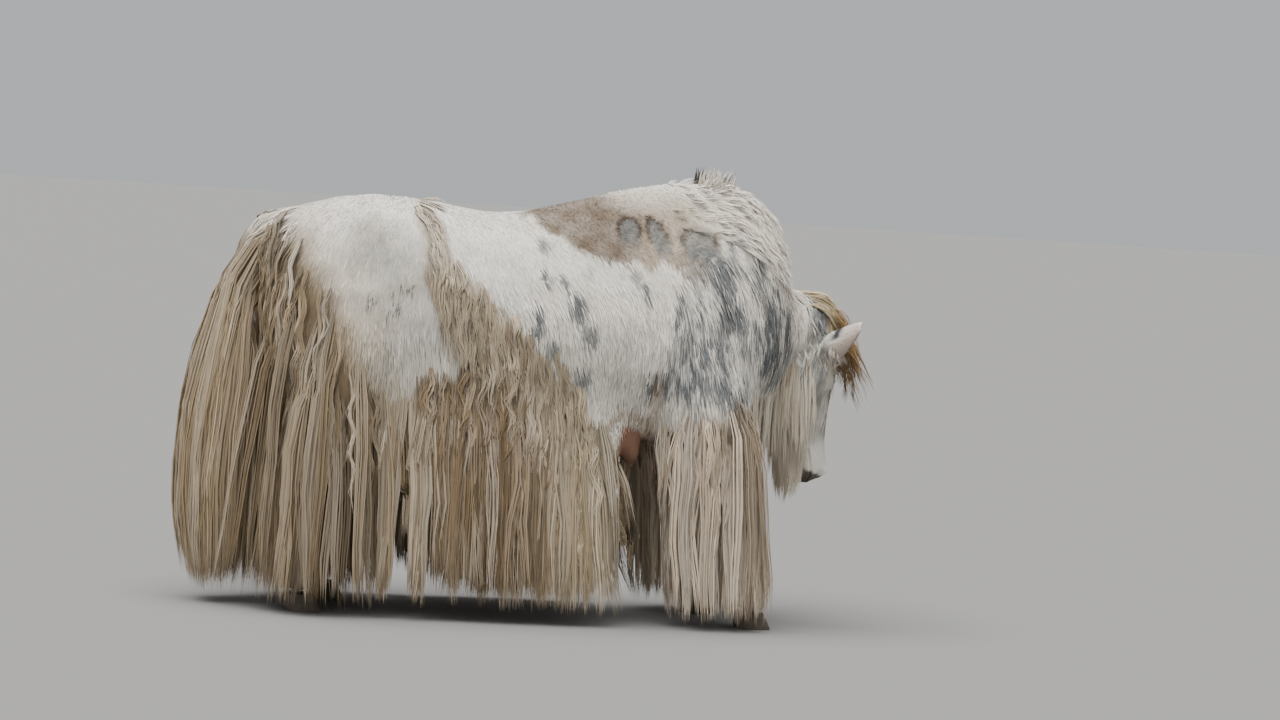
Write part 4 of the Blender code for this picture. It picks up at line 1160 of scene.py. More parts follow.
def shaded(base, points, rng, rootShade, tipShade, spread):
    # Root to tip colours of each strand, every one a little lighter or darker; the darker roots are painted
    # shade where the strands crowd together
    count = len(base)
    tone = np.exp(rng.normal(0, spread, count))[:, None, None]
    level = np.linspace(0, 1, points)[None, :, None]
    fade = rootShade + (1 - rootShade) * np.clip(level / 0.35, 0, 1)
    fade = fade + (tipShade - 1) * np.clip((level - 0.35) / 0.65, 0, 1)
    return np.clip(base[:, None, :] * tone * fade, 0.002, 0.95)


def bodyFlow(place):
    # The lie of the short coat: back and down on the rump, ahead and down on the back, straight down below
    x, y, z = place.T
    lean = np.interp(x, (-0.9, -0.6, -0.3, 0.0, 0.35, 0.6, 0.85),
        (-0.7, -0.25, 0.15, 0.55, 0.40, 0.25, 0.0))
    lean = lean * (0.25 + 0.75 * ramp(0.85, 1.20, z))
    lean = lean + (cloud(place, 0.13, 21) - 0.5) * 0.35 + (cloud(place, 0.04, 22) - 0.5) * 0.30
    across = (cloud(place, 0.06, 23) - 0.5) * 0.3
    return unit(np.column_stack([lean, across + 0.15 * np.sign(y), -np.ones(len(place))]))


pieces = []


def finishPiece(obj, paint):
    obj.data.materials.clear()
    obj.data.materials.append(paint)
    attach(obj, "root")
    pieces.append(obj)


# Short coat: thin tufts that lie along the body

shortCoat = {
    "count": 31500,
    "width": 0.0046,
    "length": 0.032,
    "longerBelow": 0.012,
    "stand": (0.0004, 0.0030),
    "sink": 0.0012,
    "keel": 0.10,
    "tones": (0.82, 1.05, 0.09),     # of the root (darker: painted shade), of the tip and from tuft to tuft
    "bunching": 0.30,
    "steps": 1,
    "shape": (1.0,),
    "seed": 5,
}

shaggyCoat = {
    "count": 21500,
    "width": 0.0038,
    "length": 0.062,
    "longerAhead": 0.018,
    "stand": (0.0008, 0.0035),
    "sink": 0.002,
    "keel": 0.18,
    "tones": (0.90, 1.04, 0.075),
    "bunching": 0.22,
    "steps": 2,
    "shape": (0.75, 1.0),
    "seed": 6,
}


def shagginess(points):
    # 0 where the coat is short and flat, 1 on shoulder, neck and low flank
    x, _, z = points.T
    front = ramp(0.33, 0.42, x) * ramp(1.20, 1.08, z)
    flank = ramp(-0.40, -0.15, x) * ramp(1.12, 0.95, z)
    low = ramp(0.95, 0.85, z)
    neck = ramp(0.60, 0.70, x)
    return np.clip(front + flank + low + neck, 0, 1)


def growShort(hide, zones, paint):
    rng = np.random.default_rng(shortCoat["seed"])
    bald = zones["head"] | zones["skirt"] | zones["fore"] | zones["bare"]
    bald |= (zones["hind"] | zones["tail"]) & (hide.middles[:, 2] < 0.95)
    belly = (np.abs(hide.middles[:, 1]) < 0.2) & (hide.middles[:, 2] < 0.65)
    density = np.where(bald, 0, 1.0) * (1 - 0.9 * shagginess(hide.middles)) * np.where(belly, 0.35, 1)
    roots = hide.scatter(density, shortCoat["count"], rng)
    place = roots["place"]
    x, y, z = place.T
    worn = ramp(-0.1, 0.0, x) * ramp(1.15, 1.19, z) * ramp(0.5, 0.45, x) * (y < 0.03)
    lengths = shortCoat["length"] + shortCoat["longerBelow"] * ramp(1.25, 1.0, z)
    lengths = lengths * (1 - 0.5 * worn) * rng.uniform(0.7, 1.25, len(place))
    flow = unit(bodyFlow(place) + rng.normal(0, 0.05, place.shape) + rng.normal(0, 0.5, place.shape)
        * worn[:, None])
    stand = rng.uniform(*shortCoat["stand"], len(place)) + 0.002 * worn
    path, outs = drape(hide, roots, flow, lengths, shortCoat["steps"], stand, True, 0.04 + 0.15 * worn,
        sink=shortCoat["sink"])
    base = markings(place + rng.normal(0, 0.003, place.shape))
    bunch = cloud(place * np.array([1.0, 1.0, 0.45]), 0.017, 24) + 0.5 * cloud(place, 0.007, 25) - 0.75
    base = base * (1 + (shortCoat["bunching"] + 0.55 * worn) * bunch)[:, None]
    root, tip, spread = shortCoat["tones"]
    colours = shaded(base, shortCoat["steps"] + 1, rng, root, tip, spread + 0.05 * worn.mean())
    widths = shortCoat["width"] * rng.uniform(0.7, 1.3, len(place)) * (1 - 0.40 * worn)
    parts = (("coat_rump", x < -0.42), ("coat_barrel", (x >= -0.42) & (x < 0.25)),
        ("coat_shoulders", x >= 0.25))
    for name, keep in parts:
        obj = strandMesh(name, path[keep], outs[keep], widths[keep], shortCoat["shape"], colours[keep],
            roots["uv"][keep], keel=shortCoat["keel"])
        finishPiece(obj, paint)


def growShaggy(hide, zones, paint):
    rng = np.random.default_rng(shaggyCoat["seed"])
    bald = zones["head"] | zones["skirt"] | zones["fore"] | zones["bare"]
    bald |= (zones["hind"] | zones["tail"]) & (hide.middles[:, 2] < 0.80)
    belly = (np.abs(hide.middles[:, 1]) < 0.18) & (hide.middles[:, 2] < 0.65)
    density = np.where(bald, 0, 1.0) * shagginess(hide.middles) * np.where(belly, 0.3, 1)
    roots = hide.scatter(density, shaggyCoat["count"], rng)
    place = roots["place"]
    x, _, z = place.T
    lengths = shaggyCoat["length"] + shaggyCoat["longerAhead"] * ramp(0.35, 0.5, x)
    lengths = lengths * rng.uniform(0.55, 1.35, len(place))
    lengths *= 1 - 0.6 * ramp(0.12, 0.06, np.hypot(x - 0.250, z - 0.58))
    lengths *= 1 + 0.7 * ramp(0.12, 0.03, z - alongX(skirtHairline, x)) * ramp(-0.15, -0.30, x)
    flow = unit(bodyFlow(place) + rng.normal(0, 0.04, place.shape))
    stand = rng.uniform(*shaggyCoat["stand"], len(place)) + 0.003 * ramp(0.35, 0.5, x)
    path, outs = drape(hide, roots, flow, lengths, shaggyCoat["steps"], stand, True, 0.08,
        sink=shaggyCoat["sink"])
    base = markings(place + rng.normal(0, 0.005, place.shape))
    bunch = cloud(place * np.array([1.0, 1.0, 0.35]), 0.020, 26) - 0.5
    base = base * (1 + shaggyCoat["bunching"] * bunch)[:, None]
    colours = shaded(base, shaggyCoat["steps"] + 1, rng, *shaggyCoat["tones"])
    widths = shaggyCoat["width"] * rng.uniform(0.6, 1.4, len(place))
    for name, keep in (("shag_flank", x < 0.36), ("shag_shoulder", x >= 0.36)):
        obj = strandMesh(name, path[keep], outs[keep], widths[keep], shaggyCoat["shape"], colours[keep],
            roots["uv"][keep], keel=shaggyCoat["keel"])
        finishPiece(obj, paint)


# Long coat: locks of many strands

def fillLocks(name, path, outs, lengths, uv, base, style, paint, rng, walls=None):
    # Many strands round each guide, waved and drawn together towards the tip
    locks, steps, each = len(path), style["steps"], style["perLock"]
    along = unit(np.gradient(path, axis=1))
    outs = unit(outs - along * np.sum(outs * along, axis=2, keepdims=True))
    sides = np.cross(along, outs)
    pick = np.repeat(np.arange(locks), each)
    total = locks * each
    rings = style["rings"]
    level = np.linspace(0, 1, rings + 1)[None, :] * rng.uniform(style["short"], 1.0, total)[:, None]
    at = level * steps
    low = np.minimum(at.astype(int), steps - 1)
    part = (at - low)[:, :, None]

    def onGuide(values):
        rows = values[pick]
        index = np.arange(total)[:, None]
        return rows[index, low] * (1 - part) + rows[index, low + 1] * part

    centre, out, side = onGuide(path), onGuide(outs), onGuide(sides)
    turn, reach = rng.uniform(0, 2 * np.pi, total), np.sqrt(rng.random(total))
    spread = (style["radius"] * (0.8 + 0.4 * rng.random(locks))[pick, None]
        * (1 - style["clump"] * level ** 1.3))
    spread = spread * np.clip(0.45 + level * 2.5, 0, 1)
    wide, deep = (np.cos(turn) * reach)[:, None] * spread, (np.sin(turn) * reach)[:, None] * spread * 0.45
    run = level * lengths[pick, None]
    amount, waveLength = style["wave"]
    waves = waveLength * rng.uniform(0.75, 1.35, locks)[pick, None]
    swing = amount * rng.uniform(0.4, 1.3, locks)[pick, None] * np.clip(run / 0.05, 0, 1)
    phase = rng.uniform(0, 2 * np.pi, locks)[pick, None]
    own = rng.uniform(0, 2 * np.pi, total)[:, None]
    wide = wide + swing * np.sin(2 * np.pi * run / waves + phase)
    wide = wide + 0.30 * swing * np.sin(2 * np.pi * run / (waves * 0.6) + own)
    deep = deep + swing * 0.45 * (1 + np.cos(2 * np.pi * run / waves + phase))
    strands = centre + side * wide[:, :, None] + out * deep[:, :, None]
    strands[:, :, 2] = np.maximum(strands[:, :, 2], 0.006 + 0.012 * rng.random(total)[:, None])
    if walls is not None:
        strands = np.clip(strands, walls[0] - 0.015, walls[1] + 0.015)
    for key, bound in (("front", np.minimum), ("rear", np.maximum)):
        if style.get(key):
            edge = np.array(style[key])
            limit = np.interp(strands[:, :, 2], edge[:, 0], edge[:, 1])
            limit = limit + rng.uniform(-0.012, 0.012, total)[:, None]
            strands[:, :, 0] = bound(strands[:, :, 0], limit)
    if style.get("blend"):
        other, most = style["blend"]
        base = mix(base, shades[other], most * rng.random(locks) ** 2)
    base = base * np.exp(rng.normal(0, style["lockTone"], locks))[:, None]
    # The darker roots are painted shade in the hollows between the locks
    colours = shaded(base[pick], rings + 1, rng, style["root"], style["tip"], style["strandTone"])
    # Strands are darker towards the floor, below 0.4 m
    lower = np.clip((0.40 - strands[:, :, 2]) / 0.40, 0, 1)[:, :, None] * style.get("darkerBelow", 0.0)
    colours = colours * (1 - lower)
    shape = np.interp(np.arange(rings) / rings, (0, 0.15, 0.6, 0.85, 1), (0.6, 1, 1, 0.75, 0.35))
    widths = style["width"] * rng.uniform(0.6, 1.4, total)
    patches = uv[pick] + rng.uniform(-0.0012, 0.0012, (total, 2))
    obj = strandMesh(name, strands, out, widths, shape, colours, patches, keel=0.32)
    finishPiece(obj, paint)


def growLocks(hide, name, density, lengthOf, style, paint, walls=None, colourOf=None, flow=None,
        hug=False):
    # Locks rooted on the skin, draped and then filled with strands
    rng = np.random.default_rng(style["seed"])
    roots = hide.scatter(density, style["locks"], rng)
    lengths = lengthOf(roots["place"], rng)
    keep = lengths > 0.03
    roots = {key: value[keep] for key, value in roots.items()}
    place, normal, lengths = roots["place"], roots["normal"], lengths[keep]
    stand = rng.uniform(style["stand"][0], style["stand"][1], len(place))
    lie = np.array(hang)[None, :] if flow is None else flow(place, normal, rng)
    lie = unit(lie + rng.normal(0, style["stray"], place.shape))
    path, outs = drape(hide, roots, lie, lengths, style["steps"], stand, hug, style["rise"], walls)
    base = (colourOf or markings)(place)
    fillLocks(name, path, outs, lengths, roots["uv"], base, style, paint, rng, walls)


def toFloor(style):
    # Lengths that end just above the floor, higher behind than in front on the skirt
    low, high = style["tips"]

    def lengthOf(place, rng):
        lift = np.interp(place[:, 0], *style["lift"]) if style.get("lift") else 0.0
        return (place[:, 2] - rng.uniform(low, high, len(place)) - lift) / -hang.z

    return lengthOf


def ownLength(style):
    # Lengths drawn evenly between the style's shortest and longest
    def lengthOf(place, rng):
        return rng.uniform(*style["length"], len(place))

    return lengthOf


def underneath(place):
    # Long hair takes the colour a little below its root, where the markings have changed
    return markings(place - np.array((0.0, 0.0, 0.06)))


def leaning(xs, leans):
    # Hair that hangs, leaning ahead or back according to where it is rooted
    def lie(place, normal, rng):
        lean = np.interp(place[:, 0], xs, leans)
        return np.column_stack([lean, 0 * lean, -np.ones(len(place))])

    return lie


skirtHair = {
    "locks": 180, "perLock": 15, "steps": 7, "rings": 5, "radius": 0.027, "width": 0.0036, "clump": 0.45,
    "short": 0.90, "wave": (0.007, 0.42), "stand": (0.004, 0.018), "rise": 0.22, "stray": 0.035,
    "lift": ((-0.45, 0.20), (0.045, 0.0)), "lockTone": 0.17, "strandTone": 0.17, "root": 0.72,
    "tip": 1.14, "darkerBelow": 0.10, "tips": (0.006, 0.065), "seed": 31, "blend": ("cream", 0.28),
    "front": ((0.0, 0.255), (0.08, 0.263), (0.21, 0.272), (0.34, 0.258), (0.49, 0.225), (0.63, 0.155),
              (0.75, 0.12)),
    "rear": ((0.0, -0.438), (0.30, -0.445), (0.50, -0.47), (0.64, -0.52), (1.0, -0.58)),
}

skirtCurls = dict(skirtHair, length=(0.16, 0.46), locks=115, perLock=8, steps=8, rings=9, radius=0.013,
    wave=(0.011, 0.13), stand=(0.018, 0.036), clump=0.55, lockTone=0.22, tip=1.30, root=0.46, seed=41,
    width=0.0034, short=0.7)

foreHair = dict(skirtHair, locks=125, perLock=13, radius=0.022, rings=6, wave=(0.006, 0.38), seed=51,
    stand=(0.004, 0.016), tips=(0.004, 0.045), darkerBelow=0.0, lift=None, root=0.78, lockTone=0.24,
    blend=("cream", 0.36), front=((0.0, 0.70), (0.05, 0.715), (0.11, 0.727), (0.30, 0.724), (0.49, 0.715),
    (0.74, 0.665)), rear=((0.0, 0.425), (0.04, 0.415), (0.12, 0.364), (0.28, 0.318), (0.47, 0.31),
    (0.66, 0.315)))

foreWaves = dict(foreHair, length=(0.16, 0.44), locks=135, perLock=7, steps=8, rings=8, radius=0.013,
    wave=(0.008, 0.20), clump=0.50, stand=(0.016, 0.032), lockTone=0.14, root=0.76, tip=1.08, seed=55,
    short=0.7, width=0.0036)

hindHair = dict(skirtHair, locks=140, perLock=13, radius=0.022, seed=61, tips=(0.004, 0.06), rear=None,
    lift=None, front=((0, -0.462), (0.30, -0.463), (0.50, -0.44), (0.64, -0.40), (1, -0.38)))

thighCurls = dict(hindHair, length=(0.18, 0.45), locks=110, perLock=7, steps=8, rings=9, radius=0.012,
    seed=71, wave=(0.009, 0.15), clump=0.5, tip=1.24, stand=(0.008, 0.026), root=0.62, width=0.0034,
    short=0.7, lockTone=0.20)


def growLongHair(hide, zones, paint):
    x, y, z = hide.middles.T
    last = forms["skirtEnds"][1]
    outward = hide.normals[hide.corners[:, 0], 1]
    skirtLie = leaning((-0.45, -0.30, 0.03, 0.18), (-0.05, 0.05, 0.06, 0.15))
    hindLie = leaning((-0.90, -0.62, -0.46), (-0.02, 0.05, 0.10))
    for side, word in ((-1, "right"), (1, "left")):
        here = (y * side > 0)
        facing = outward * side
        # Left to the crease hair
        crease = 1 - ramp(0.060, 0.045, np.abs(x + 0.47)) * ramp(0.66, 0.62, z)
        near, far = sorted((side * 0.055, side * 0.405))

        def grow(name, settings, weight, lengthOf, rear, front, flow=None):
            # One piece of this side, kept between walls across and along the animal
            style = dict(settings, seed=settings["seed"] + side)
            walls = np.array((rear, near, 0.0)), np.array((front, far, 2.0))
            growLocks(hide, name + word, weight, lengthOf(style), style, paint, walls,
                colourOf=underneath, flow=flow)

        outer = zones["skirt"] & here & (facing > -0.2)
        weight = outer * (0.55 + 0.45 * ramp(0.5, 0.8, z)) * crease
        grow("skirt_hair_", skirtHair, weight, toFloor, -0.56, last - 0.025, skirtLie)
        upper = outer & (z > alongX(skirtHairline, x) - 0.24) & (x < 0.12)
        grow("skirt_curls_", skirtCurls, upper * crease, ownLength, -0.56, last - 0.025, skirtLie)
        weight = (zones["fore"] & here) * (0.5 + 0.5 * ramp(0.4, 0.7, z)) * ramp(0.12, 0.2, z)
        grow("fore_hair_", foreHair, weight, toFloor, last + 0.005, 0.86)
        weight = (zones["fore"] & here & (z > 0.42) & (facing > 0.1)).astype(float)
        grow("fore_waves_", foreWaves, weight, ownLength, last + 0.005, 0.86)
        weight = (zones["hind"] & here) * ramp(1.06, 0.80, z) * (0.5 + 0.5 * ramp(0.4, 0.7, z))
        weight = weight * ramp(0.12, 0.2, z) * crease * (1 + 1.5 * ramp(-0.78, -0.86, x))
        grow("hind_hair_", hindHair, weight, toFloor, -1.1, -0.38, hindLie)
        weight = zones["hind"] * here * (z > 0.60) * (facing > 0.1) * (1 + 1.5 * ramp(-0.78, -0.86, x))
        grow("thigh_curls_", thighCurls, weight, ownLength, -1.1, -0.38)


# Hair that closes the flank in front of the thigh and parts below in a narrow gap,
# whose two edges are given as x at the floor
creaseHair = dict(hindHair, locks=64, perLock=11, rings=6, radius=0.014, seed=75, front=None,
    gap=(-0.497, -0.440), root=0.92, wave=(0.004, 0.30), reach=(0.040, 0.045), out=(0.300, 0.355))


def growCrease(hide, paint):
    style = creaseHair
    x, _, z = hide.middles.T
    for side, word in ((-1, "right"), (1, "left")):
        rng = np.random.default_rng(style["seed"] + side)
        weight = ((np.abs(x + 0.47) < 0.085) & (z > 0.57) & (z < 0.73)
            & (hide.normals[hide.corners[:, 0], 1] * side > 0.6))
        roots = hide.scatter(weight.astype(float), style["locks"], rng)
        place, normal = roots["place"], roots["normal"]
        count = len(place)
        behind = place[:, 0] < -0.467
        shares = rng.random(count)
        target = np.where(behind, style["gap"][0] - style["reach"][0] * shares,
            style["gap"][1] + style["reach"][1] * shares)
        tip = rng.uniform(*style["tips"], count) + 0.03
        level = np.linspace(0, 1, style["steps"] + 1)[None, :]
        ease = 1 - (1 - level) ** 2.2
        outY = (rng.uniform(*style["out"], count) + np.where(behind, 0.0, 0.032))[:, None]
        nearY = np.maximum(np.abs(place[:, 1:2]), 0.0)
        rows = np.stack([place[:, :1] + (target[:, None] - place[:, :1]) * ease,
            side * (nearY + (np.maximum(outY, nearY) - nearY) * ease),
            place[:, 2:] + (tip[:, None] - place[:, 2:]) * level], axis=2)
        rows[:, 0] -= normal * 0.004
        outs = np.tile(np.array((0.0, float(side), 0.0)), (count, style["steps"] + 1, 1))
        fillLocks("crease_hair_" + word, rows, outs, place[:, 2] - tip, roots["uv"],
            mix(underneath(place), mix(shades["tan"], shades["straw"], 0.35), 0.65), style, paint,
            rng)


tailHair = dict(skirtHair, tips=(0.012, 0.07), locks=205, perLock=12, rings=6, radius=0.020,
    wave=(0.006, 0.40), lockTone=0.16, strandTone=0.20, seed=81, clump=0.3, front=None, rear=None,
    width=0.0036, bell=((0.00, -1.010, 0.075), (0.15, -1.020, 0.108), (0.30, -1.025, 0.125),
    (0.45, -1.025, 0.130), (0.60, -1.020, 0.127), (0.76, -1.005, 0.116), (0.92, -0.985, 0.093),
    (1.06, -0.962, 0.068), (1.165, -0.930, 0.050), (1.24, -0.880, 0.045)))

tailTop = dict(tailHair, length=(0.07, 0.19), locks=130, perLock=9, steps=4, rings=4, radius=0.010,
    wave=(0.003, 0.12), clump=0.3, rise=0.05, stray=0.09, stand=(0.002, 0.008), root=0.85, tip=1.05,
    seed=83, width=0.0028, short=0.5)


def growTail(hide, zones, paint):
    style = tailHair
    rng = np.random.default_rng(style["seed"])
    x, y, z = hide.middles.T
    weight = (zones["tail"] & (z > 0.70)) * (0.5 + 0.5 * ramp(0.9, 1.1, z))
    roots = hide.scatter(weight.astype(float), style["locks"], rng)
    place, normal = roots["place"], roots["normal"]
    count = len(place)
    angle = np.arctan2(normal[:, 1], normal[:, 0]) + rng.normal(0, 0.35, count)
    share = rng.uniform(0.45, 1.0, count) ** 0.7
    behind = np.clip(-np.cos(angle), 0, 1) * share
    tip = rng.uniform(*style["tips"], count) + 0.14 * behind ** 3 * rng.random(count)
    level = np.linspace(0, 1, style["steps"] + 1)[None, :]
    height = place[:, 2:] + (tip[:, None] - place[:, 2:]) * level
    bell = np.array(style["bell"])
    middle = np.interp(height, bell[:, 0], bell[:, 1])
    reach = np.interp(height, bell[:, 0], bell[:, 2]) * share[:, None]
    rows = np.stack([middle + np.cos(angle)[:, None] * reach, np.sin(angle)[:, None] * reach * 1.3,
        height], axis=2)
    near = np.exp(-(place[:, 2:] - height) / 0.07)[:, :, None]
    path = (place - normal * 0.004)[:, None] * near + rows * (1 - near)
    outs = np.repeat(np.column_stack([np.cos(angle), np.sin(angle), 0 * angle])[:, None], path.shape[1],
        axis=1)
    outs[:, 0] = normal
    fillLocks("tail_hair", path, unit(outs), place[:, 2] - tip, roots["uv"],
        markings(place - np.array((0, 0, 0.14))), style, paint, rng)
    crown = ((x < -0.80) & (z > 1.08) & (np.abs(y) < 0.15)).astype(float)

    def backward(place, normal, rng):
        return np.column_stack([-0.75 + 0 * place[:, 0],
            0.35 * np.sign(place[:, 1]) * rng.random(len(place)), -0.25 - ramp(1.24, 1.12, place[:, 2])])

    growLocks(hide, "tail_top", crown, ownLength(tailTop), tailTop, paint, flow=backward,
        hug=True)


# Shed wool, mane, throat and cheeks

woolTufts = {
    "length": (0.07, 0.15), "locks": 185, "perLock": 9, "steps": 6, "rings": 7, "radius": 0.013,
    "width": 0.0034, "clump": 0.45, "short": 0.6, "wave": (0.006, 0.12), "stand": (0.003, 0.016),
    "rise": 0.15, "stray": 0.07, "lockTone": 0.13, "strandTone": 0.12, "root": 0.72, "tip": 1.10,
    "seed": 91,
}

maneTufts = dict(woolTufts, length=(0.040, 0.085), locks=470, perLock=6, steps=3, rings=3, radius=0.012,
    width=0.0026, wave=(0.002, 0.2), rise=0.24, stray=0.16, root=1.0, tip=1.03, lockTone=0.03,
    strandTone=0.05, seed=92, clump=0.35, stand=(0.001, 0.010))

crestHair = dict(maneTufts, length=(0.035, 0.070), locks=70, perLock=8, steps=3, rings=4, radius=0.009,
    rise=0.8, stray=0.30, seed=101, width=0.0024, stand=(0.001, 0.006))

throatHair = dict(woolTufts, length=(0.04, 0.26), tips=(0.368, 0.44), locks=330, perLock=8, steps=5,
    rings=4, radius=0.010, wave=(0.002, 0.2), rise=0.10, stray=0.03, root=0.98, tip=1.05, lockTone=0.05,
    strandTone=0.07, seed=93, width=0.0027,
    front=((0.38, 0.845), (0.47, 0.880), (0.55, 0.900), (0.65, 0.905), (0.90, 0.905)))

cheekHair = dict(woolTufts, length=(0.045, 0.085), locks=300, perLock=7, steps=3, rings=3, radius=0.008,
    wave=(0.001, 0.2), rise=0.06, stray=0.05, root=0.90, tip=1.05, lockTone=0.08, strandTone=0.09,
    seed=94, width=0.0026, stand=(0.001, 0.005), clump=0.3)


def growTufts(hide, zones, paint):
    x, y, z = hide.middles.T
    felt = stripDistance(x, z, woolStrip)
    width = 0.024 + 0.075 * ramp(1.25, 0.85, z)
    weight = ((felt < width) & (y < -0.02) & zones["body"]).astype(float)
    wool = mix(shades["straw"], shades["cream"], 0.15)

    def dropped(place, normal, rng):
        return np.tile(np.array((0.16, 0, -1.0)), (len(place), 1))

    def woolLength(place, rng):
        return (rng.uniform(*woolTufts["length"], len(place)) + 0.10 * ramp(1.15, 0.95, place[:, 2])
            * rng.random(len(place)))

    def woolColour(place):
        pale = mix(np.tile(wool, (len(place), 1)), shades["cream"], 0.5 * ramp(1.05, 1.22, place[:, 2]))
        return mix(pale, shades["curl"], 0.75 * cloud(place, 0.05, 31))

    growLocks(hide, "shed_wool", weight, woolLength, woolTufts, paint, flow=dropped,
        colourOf=woolColour)
    crest = (((x > 0.36) & (x < 0.80) & (z > 1.12) & (np.abs(y) < 0.15) & zones["body"])
        * (0.25 + ramp(0.42, 0.6, x)))

    def forward(place, normal, rng):
        fall = 0.05 - 1.2 * ramp(0.5, 0.7, place[:, 0])
        return unit(np.column_stack([0.7 + 0 * fall, 0.4 * np.sign(place[:, 1]), fall]))

    growLocks(hide, "mane", crest.astype(float), ownLength(maneTufts), maneTufts, paint,
        flow=forward)
    top = (np.abs(x - 0.525) < 0.055) & (np.abs(y) < 0.05) & (z > 1.25) & zones["body"]
    growLocks(hide, "crest_hair", top.astype(float), ownLength(crestHair), crestHair, paint,
        colourOf=lambda place: np.tile(shades["cream"], (len(place), 1)),
        flow=lambda place, normal, rng: np.tile((0.35, 0.0, 1.0), (len(place), 1)))
    h = toHead(hide.middles)
    down = hide.normals[hide.corners[:, 0], 2]
    throat = (x > 0.64) & (x < 0.90) & (z > 0.46) & (z < 0.80) & (down < -0.05) & (h[:, 0] < -0.07)
    jaw = (zones["head"] & (h[:, 0] < -0.045) & (h[:, 2] < -0.16) & (h[:, 2] > -0.52)
        & (np.abs(h[:, 1]) < 0.13))

    def throatLength(place, rng):
        tips = rng.uniform(*throatHair["tips"], len(place))
        return np.clip(place[:, 2] - tips, *throatHair["length"])

    def throatColour(place):
        straw = np.tile(shades["straw"], (len(place), 1))
        return mix(straw, shades["cream"], 0.35 + 0.5 * cloud(place, 0.05, 32))

    growLocks(hide, "throat_hair", throat * 0.6 + jaw * 1.0, throatLength, throatHair, paint,
        colourOf=throatColour)
    eyes = eyeDistance(hide.middles)
    cheek = (zones["head"] & (eyes > 0.042) & (h[:, 0] < 0.045) & (h[:, 2] < -0.01) & (h[:, 2] > -0.42)
        & (np.abs(h[:, 1]) < 0.135))

    def downCheek(place, normal, rng):
        rows = np.tile(np.array((-0.30, 0.0, -1.0)), (len(place), 1))
        return unit(rows @ np.array(headTurn).T)

    growLocks(hide, "cheek_hair", cheek.astype(float), ownLength(cheekHair), cheekHair, paint,
        flow=downCheek, hug=True)


# Face, lashes, forelock and ears

faceCoat = {
    "count": 19000,
    "width": 0.0028,
    "length": 0.022,
    "stand": (0.0003, 0.0010),
    "sink": 0.0008,
    "keel": 0.12,
    "tones": (0.97, 1.02, 0.045),
    "shape": (1.0,),
    "seed": 15,
}


def growFace(hide, zones, paint, line):
    rng = np.random.default_rng(faceCoat["seed"])
    h = toHead(hide.middles)
    eyes = eyeDistance(hide.middles)
    bare = ((eyes < 0.0225) | ((h[:, 2] < -0.560) & (h[:, 0] > -0.03))
        | (distanceToLine(hide.middles, line) < 0.006))
    density = (zones["head"] & ~bare) * (1 + 0.8 * ramp(-0.35, -0.5, h[:, 2]))
    roots = hide.scatter(density, faceCoat["count"], rng)
    place = roots["place"]
    h = toHead(place)
    back = ramp(0.03, -0.05, h[:, 0]) * ramp(-0.50, -0.38, h[:, 2])
    ears = ramp(0.135, 0.15, np.abs(h[:, 1]))
    small = ramp(-0.38, -0.50, h[:, 2])
    lengths = ((faceCoat["length"] - 0.012 * small + 0.014 * back) * rng.uniform(0.7, 1.3, len(place))
        * (1 - 0.20 * ears))
    lie = np.column_stack([-0.25 - 0.3 * back, 0 * back, -np.ones(len(place))])
    lie = mix(lie, np.column_stack([0.1 + 0 * back, np.sign(h[:, 1]), 0.3 + 0 * back]), ears)
    flow = unit(lie @ np.array(headTurn).T + rng.normal(0, 0.06, place.shape))
    stand = (rng.uniform(*faceCoat["stand"], len(place)) + 0.001 * back + 0.0028 * ears
        * rng.random(len(place)))
    path, outs = drape(hide, roots, flow, lengths, 1, stand, True, 0.05, sink=faceCoat["sink"])
    colours = shaded(markings(place), 2, rng, *faceCoat["tones"])
    widths = (faceCoat["width"] * rng.uniform(0.7, 1.3, len(place))
        * (1 - 0.45 * np.maximum(small, ears) + 0.2 * back))
    obj = strandMesh("coat_face", path, outs, widths, faceCoat["shape"], colours, roots["uv"],
        keel=faceCoat["keel"])
    finishPiece(obj, paint)


lashes = {"perEye": 34, "length": 0.013, "width": 0.0008, "seed": 98}


def growLashes(hide, paint):
    # Two rows of lashes on each upper lid, bent outward and down
    rng = np.random.default_rng(lashes["seed"])
    half, above, _ = face["opening"]
    radius = animal["eyeRadius"] + face["lid"]
    paths, outsOf = [], []
    for side in (-1, 1):
        out, up, along = eyeAxes(side)
        for k in range(lashes["perEye"]):
            u = 0.92 * (2 * (k + rng.random()) / lashes["perEye"] - 1)
            v = above * math.sqrt(1 - u * u) * 1.04 + 0.0006 * (k % 2)
            w = math.sqrt(max(radius ** 2 - (u * half) ** 2 - v ** 2, 1e-6))
            root = np.array(eyeCentre(side)) + along * (u * half) + up * v + out * (w - 0.001)
            lie = unit(out + along * u * 0.4 + up * 0.12)
            reach = lashes["length"] * rng.uniform(0.7, 1.1)
            paths.append([root, root + lie * reach * 0.5, root + lie * reach - up * 0.0035])
            outsOf.append([up] * 3)
    paths = np.array(paths)
    count = len(paths)
    colours = np.tile(shades["soot"] * 0.35, (count, 3, 1))
    near = [hide.tree.find_nearest(row.tolist())[2] for row in paths[:, 0]]
    uv = hide.uv[near].mean(axis=1)
    obj = strandMesh("lashes", paths, np.array(outsOf), np.full(count, lashes["width"]), (1.0, 0.7),
        colours, uv, keel=0.5)
    finishPiece(obj, paint)


forelock = {
    "length": (0.09, 0.17), "locks": 130, "perLock": 8, "steps": 6, "rings": 5, "radius": 0.008,
    "width": 0.0028, "clump": 0.5, "short": 0.6, "wave": (0.002, 0.14), "stand": (0.002, 0.012),
    "rise": 0.12, "stray": 0.07, "lockTone": 0.13, "strandTone": 0.14, "root": 0.78, "tip": 1.10,
    "seed": 95,
}

